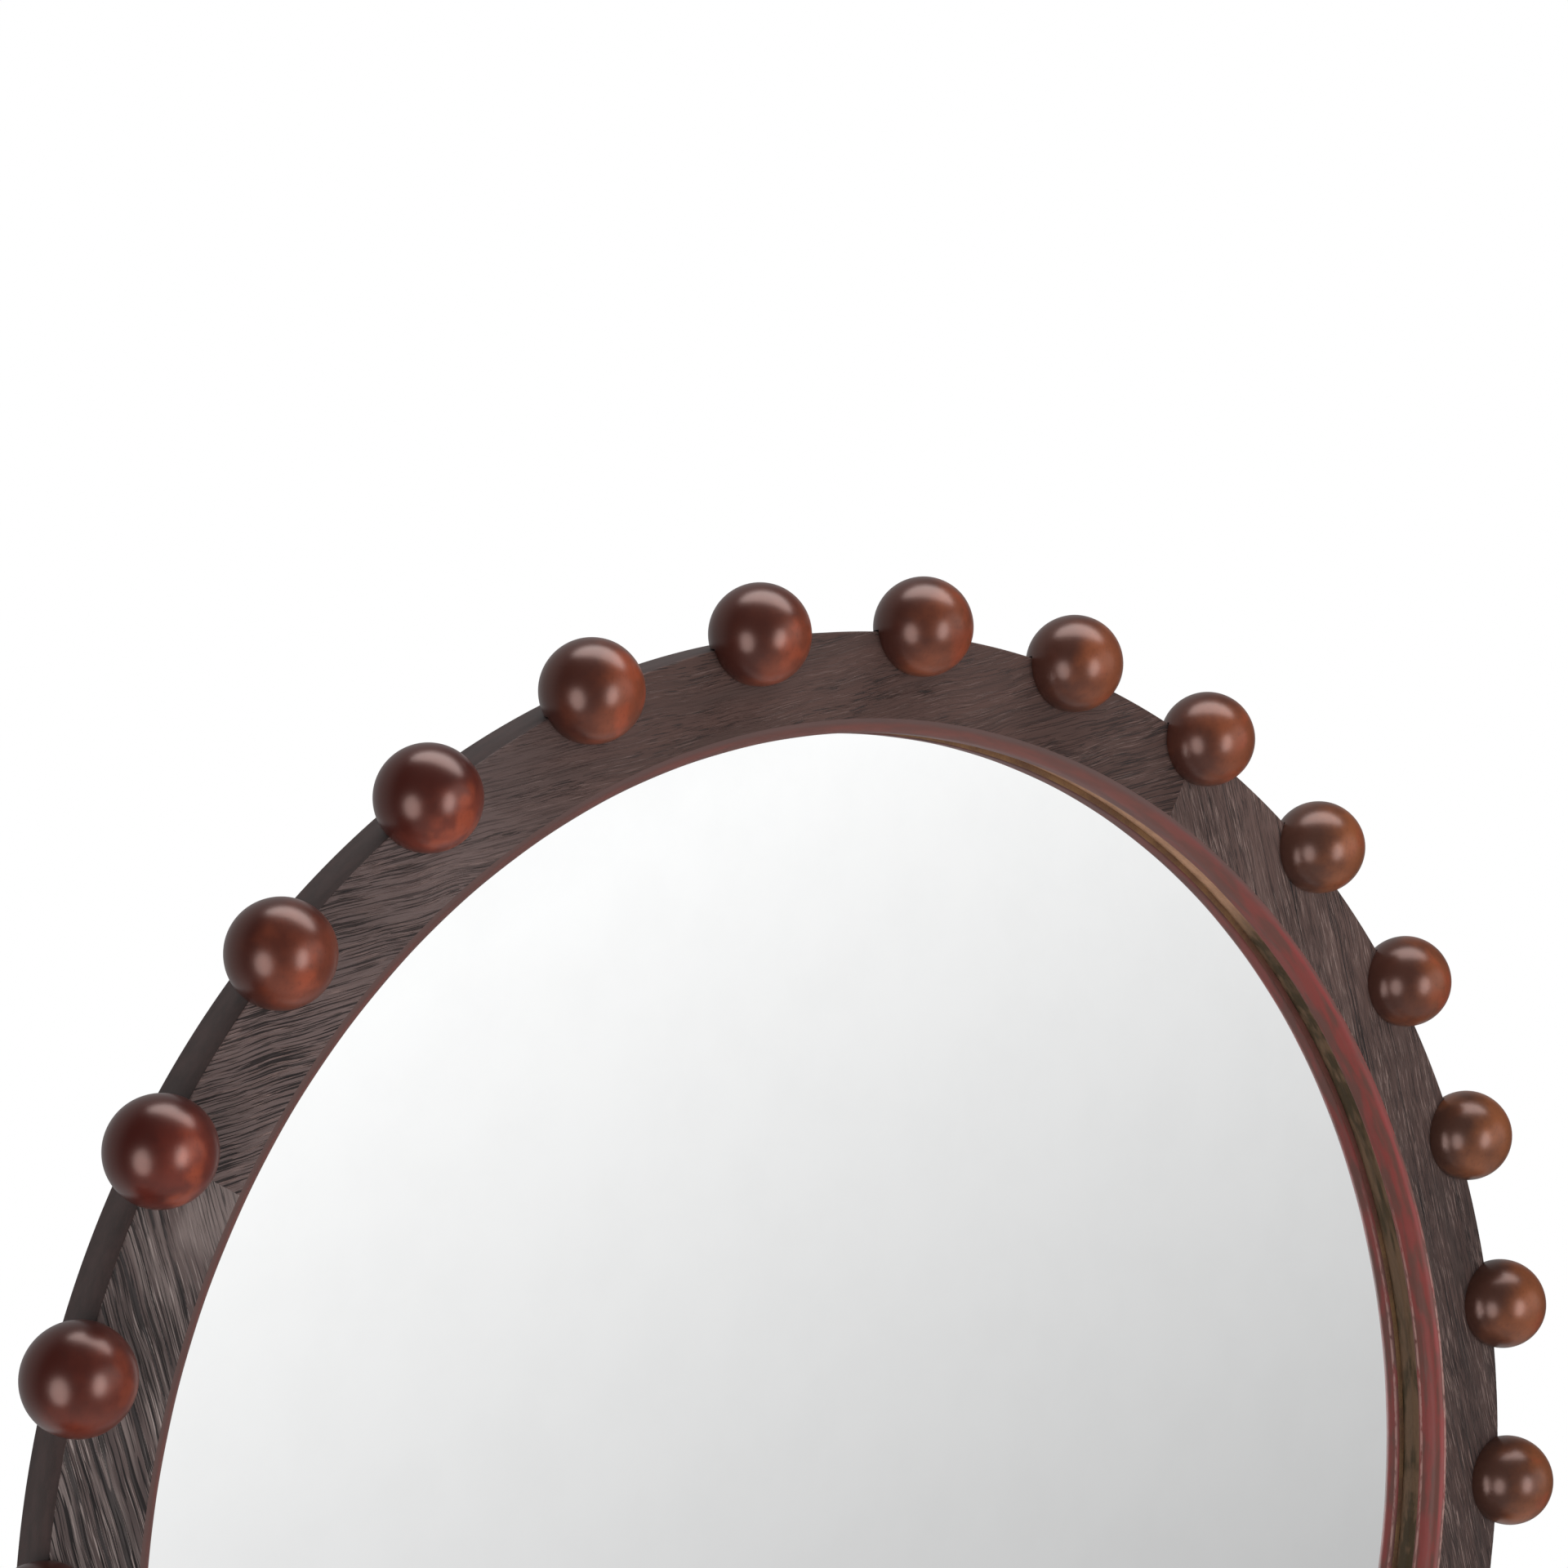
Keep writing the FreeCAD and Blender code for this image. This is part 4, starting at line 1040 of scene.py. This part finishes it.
# %% [markdown]
# ## Glass
#
# The CAD disc is the right shape: a flat sheet with a polished edge. A mirror is
# metal behind clear glass, so the finish is a bright metal with almost no
# roughness, and a trace of dust that only dulls the reflection by a hair.

# %% Mirror finish
mirror = Finish("silvered_glass")
clean_silver, dusty_silver = (0.93, 0.935, 0.935, 1), (0.91, 0.915, 0.915, 1)
dust = mirror.noise(mirror.object_place(), 35.0, 4.0, 0.6)
mirror.use(
    Base_Color=mirror.blend(mirror.ease(dust, 0.3, 0.8), clean_silver, dusty_silver),
    Metallic=1.0,
    Roughness=mirror.ease(dust, 0.3, 0.9) * 0.012,
)
dress(nodes["mirror_glass"], mirror)
print("glass faces:", len(nodes["mirror_glass"].data.polygons))

# %% [markdown]
# ## The back and its fittings
#
# Behind the glass lies a card, and over it a hardboard panel held by twelve
# screws. The panel, the zinc-plated hangers and the rubber bumpers keep their CAD
# shapes, which already have their countersinks, rolled ends and recesses, and
# only get their finishes here. The panel and the card are boards of pressed
# fibres, and the hidden beech dowels are so small that the same flecks suit them.

# %% Hardboard, card and dowels
def speckled(name, body, fleck, other, coarse, fine, roughness, depth):
    """A board of pressed fibres: soft clouds of body and other, with small flecks.
    coarse and fine say how many clouds and flecks go into a metre."""
    finish = Finish(name)
    here = finish.object_place()
    clouds = finish.noise(here, coarse, 4.0, 0.6)
    flecks = finish.noise(here, fine, 3.0, 0.7)
    drawn_out = finish.stretched(here, (1.0, 1.0, 0.25))
    fibres = finish.noise(drawn_out, fine * 0.5, 2.0, 0.6)
    colour = finish.blend(finish.ease(clouds, 0.3, 0.7), body, other)
    colour = finish.blend(finish.ease(flecks, 0.58, 0.70) * 0.6, colour, fleck)
    colour = finish.blend(finish.ease(fibres, 0.60, 0.72) * 0.4, colour, fleck)
    finish.use(Base_Color=colour, Roughness=roughness + flecks * 0.15)
    finish.relief(flecks * 0.5 + fibres * 0.5, depth)
    return finish


hardboard = speckled(
    "hardboard", paint(126, 92, 62), paint(74, 50, 34), paint(106, 76, 52),
    coarse=14.0, fine=900.0, roughness=0.55, depth=0.08 * MM,
)
card = speckled(
    "grey_card", paint(150, 146, 140), paint(112, 108, 102), paint(138, 134, 128),
    coarse=20.0, fine=1200.0, roughness=0.8, depth=0.05 * MM,
)
beech = speckled(
    "plain_beech", paint(196, 158, 112), paint(150, 110, 72), paint(182, 142, 98),
    coarse=40.0, fine=700.0, roughness=0.6, depth=0.05 * MM,
)
dress(nodes["back_panel"], hardboard)
dress(nodes["backing_card"], card)
for name in ("ball_dowels", "joint_dowels"):
    dress(nodes[name], beech)
print("boards behind:", hardboard.material.name, card.material.name)

# %% [markdown]
# ## Zinc and rubber
#
# Zinc plating is a metal with faint clouds and fine scuffs, which are stretched
# along the height of the fitting. The bumpers are matte rubber with a dusty bloom.

# %% Zinc and rubber
zinc = Finish("zinc_plate")
here = zinc.object_place()
spangle = zinc.noise(here, 420.0, 2.0, 0.5)
scuffs = zinc.noise(zinc.stretched(here, (1.0, 1.0, 0.1)), 2600.0, 2.0, 0.6)
zinc_clouds = zinc.ease(spangle, 0.3, 0.7)
zinc.use(
    Base_Color=zinc.blend(zinc_clouds, paint(176, 178, 180), paint(206, 204, 196)),
    Metallic=1.0,
    Roughness=0.26 + spangle * 0.14 + zinc.ease(scuffs, 0.5, 0.7) * 0.14,
)
zinc.relief(scuffs, 0.01 * MM)
zinc_pieces = ["panel_screws"]
for hand in ("left", "right"):
    zinc_pieces += [hand + "_hanger_" + part for part in ("strap", "ring", "screws")]
for name in zinc_pieces:
    dress(nodes[name], zinc)

rubber = Finish("black_rubber")
bloom = rubber.noise(rubber.object_place(), 260.0, 4.0, 0.6)
dusty = rubber.ease(bloom, 0.35, 0.75)
rubber.use(
    Base_Color=rubber.blend(dusty, paint(30, 30, 31), paint(52, 51, 50)),
    Roughness=0.7 + bloom * 0.2,
)
rubber.relief(bloom, 0.04 * MM)
for number in range(4):
    dress(nodes["wall_bumper_%d" % (number + 1)], rubber)
print("zinc pieces:", len(zinc_pieces), "and 4 bumpers")

# %% [markdown]
# ## Floor
#
# The object hangs in a white studio over a pale floor. The camera sees the floor
# fade into the white, and polished and matte things look through it, because the
# studio's own light already counts it.

# %% Floor
FLOOR_RADIUS, FLOOR_HEIGHT = 3.0, -0.75
bpy.ops.object.select_all(action="DESELECT")
bpy.ops.mesh.primitive_circle_add(
    vertices=96, radius=FLOOR_RADIUS, fill_type="NGON", location=(0, 0, FLOOR_HEIGHT)
)
floor = bpy.context.object
floor.name = "studio_floor"
bpy.ops.object.transform_apply(location=True, rotation=True, scale=True)
floor_finish = Finish("studio_floor")
here = floor_finish.object_place()
scatter = floor_finish.noise(here, 3.0, 3.0, 0.5)
flat_place = floor_finish.stretched(here, (1, 1, 0))
from_middle = floor_finish.add(
    "ShaderNodeVectorMath", {"operation": "LENGTH"}, {0: flat_place}, output=1
)
pale, paler = (0.80, 0.80, 0.80, 1), (0.84, 0.84, 0.84, 1)
floor_finish.use(
    Base_Color=floor_finish.blend(scatter, pale, paler),
    Roughness=0.9,
    Specular_IOR_Level=0.0,
)
glossy_ray = floor_finish.add("ShaderNodeLightPath", output="Is Glossy Ray")
diffuse_ray = Wire(floor_finish, glossy_ray.socket.node.outputs["Is Diffuse Ray"])
rim = floor_finish.ease(from_middle, 1.2, 2.6)
open_share = floor_finish.add(
    "ShaderNodeClamp", sockets={0: glossy_ray + diffuse_ray + rim}
)
solid = Wire(floor_finish, floor_finish.shader.outputs[0])
see_through = floor_finish.add("ShaderNodeBsdfTransparent")
mixed = floor_finish.add(
    "ShaderNodeMixShader", sockets={0: open_share, 1: solid, 2: see_through}
)
floor_finish.tree.links.new(
    mixed.socket, floor_finish.tree.nodes["Material Output"].inputs["Surface"]
)
dress(floor, floor_finish)
print("floor at", FLOOR_HEIGHT, "m")

# %% [markdown]
# ## Lamps
#
# The highlights on the balls tell where the lamps are: a broad one above, one at
# the left, low and to the side, and one in front. All are plain soft boxes. Their
# strength is given as a brightness, and an area lamp's energy is that brightness
# times pi times its area, which for an ellipse is a quarter of pi times both sides.

# %% Lamps
LAMP_TARGET = Vector((0, -0.03, 0.12))


def soft_box(name, place, width, height, brightness, sideways):
    """An area lamp that looks at the middle of the ring's upper half, with its
    width along the sideways direction."""
    lamp = bpy.data.lights.new(name, "AREA")
    lamp.shape = "ELLIPSE"
    lamp.size, lamp.size_y = width, height
    lamp.energy = brightness * math.pi * width * height * math.pi / 4
    holder = bpy.data.objects.new(name, lamp)
    bpy.context.scene.collection.objects.link(holder)
    back = (Vector(place) - LAMP_TARGET).normalized()
    across = Vector(sideways)
    across = (across - back * across.dot(back)).normalized()
    turned = Matrix((across, back.cross(across), back)).transposed().to_4x4()
    holder.matrix_world = Matrix.Translation(place) @ turned
    holder.visible_camera = False


soft_box("lamp_above", (0.06, -0.16, 1.25), 1.70, 0.62, 4.4, (0.8, -0.6, 0))
soft_box("lamp_left", (-1.90, -0.80, -0.45), 1.15, 1.65, 4.2, (-0.4, 0.9, 0))
soft_box("lamp_front", (0.37, -2.56, -0.12), 1.10, 1.75, 5.2, (1, 0, 0))
print("lamps:", len(bpy.data.lights))

# %% [markdown]
# ## Studio
#
# The camera sees white all round. Polished things see the studio itself: it is
# pale in front at the right, where the glass looks from this side, greyer to the
# right and below, and dim elsewhere, so that the balls keep their dark sides.
# Matte things get most of their soft light from the pale floor and the lower
# front, as the balls show, and the back gets some from the room behind. The Light
# Path node tells the three apart.

# %% Studio
world = bpy.data.worlds.new("studio")
bpy.context.scene.world = world
world.use_nodes = True
studio = Finish("studio", world.node_tree)
view_line = studio.add("ShaderNodeTexCoord", output="Generated")
rightward, backward, upward = studio.parts(view_line)
window_line = (0.597, -0.799, -0.07)
facing = studio.add(
    "ShaderNodeVectorMath",
    {"operation": "DOT_PRODUCT"},
    {0: view_line, 1: window_line},
    output=1,
)
window = studio.ease(facing, 0.80, 0.94)
window_level = 1.82 - 1.36 * rightward + 1.68 * upward
window_level = studio.add(
    "ShaderNodeClamp", sockets={0: window_level, 1: 0.25, 2: 1.06}
)
hall = 0.04 + 0.08 * studio.ease(0 - backward, -0.2, 0.5)
hall = hall + 0.30 * studio.ease(backward, 0.15, 0.7)
hall = hall + 0.34 * studio.ease(0 - upward, 0.35, 0.95)
gloss_level = window * window_level + (1 - window) * hall
from_below = studio.ease(0 - upward, -0.15, 0.75)
from_front = 0.55 + 0.45 * studio.ease(0 - backward, -0.6, 0.4)
from_behind = studio.ease(backward, 0.25, 0.85)
matte_level = 0.06 + 0.78 * from_below * from_front + 0.55 * from_behind
camera_ray = studio.add("ShaderNodeLightPath", output="Is Camera Ray")
glossy_ray = Wire(studio, camera_ray.socket.node.outputs["Is Glossy Ray"])
seen_level = glossy_ray * gloss_level + (1 - glossy_ray) * matte_level
brightness = camera_ray + (1 - camera_ray) * seen_level
background = studio.tree.nodes["Background"]
background.inputs["Color"].default_value = (1, 1, 1, 1)
studio.tree.links.new(brightness.socket, background.inputs["Strength"])
bpy.context.scene.view_settings.view_transform = "Standard"
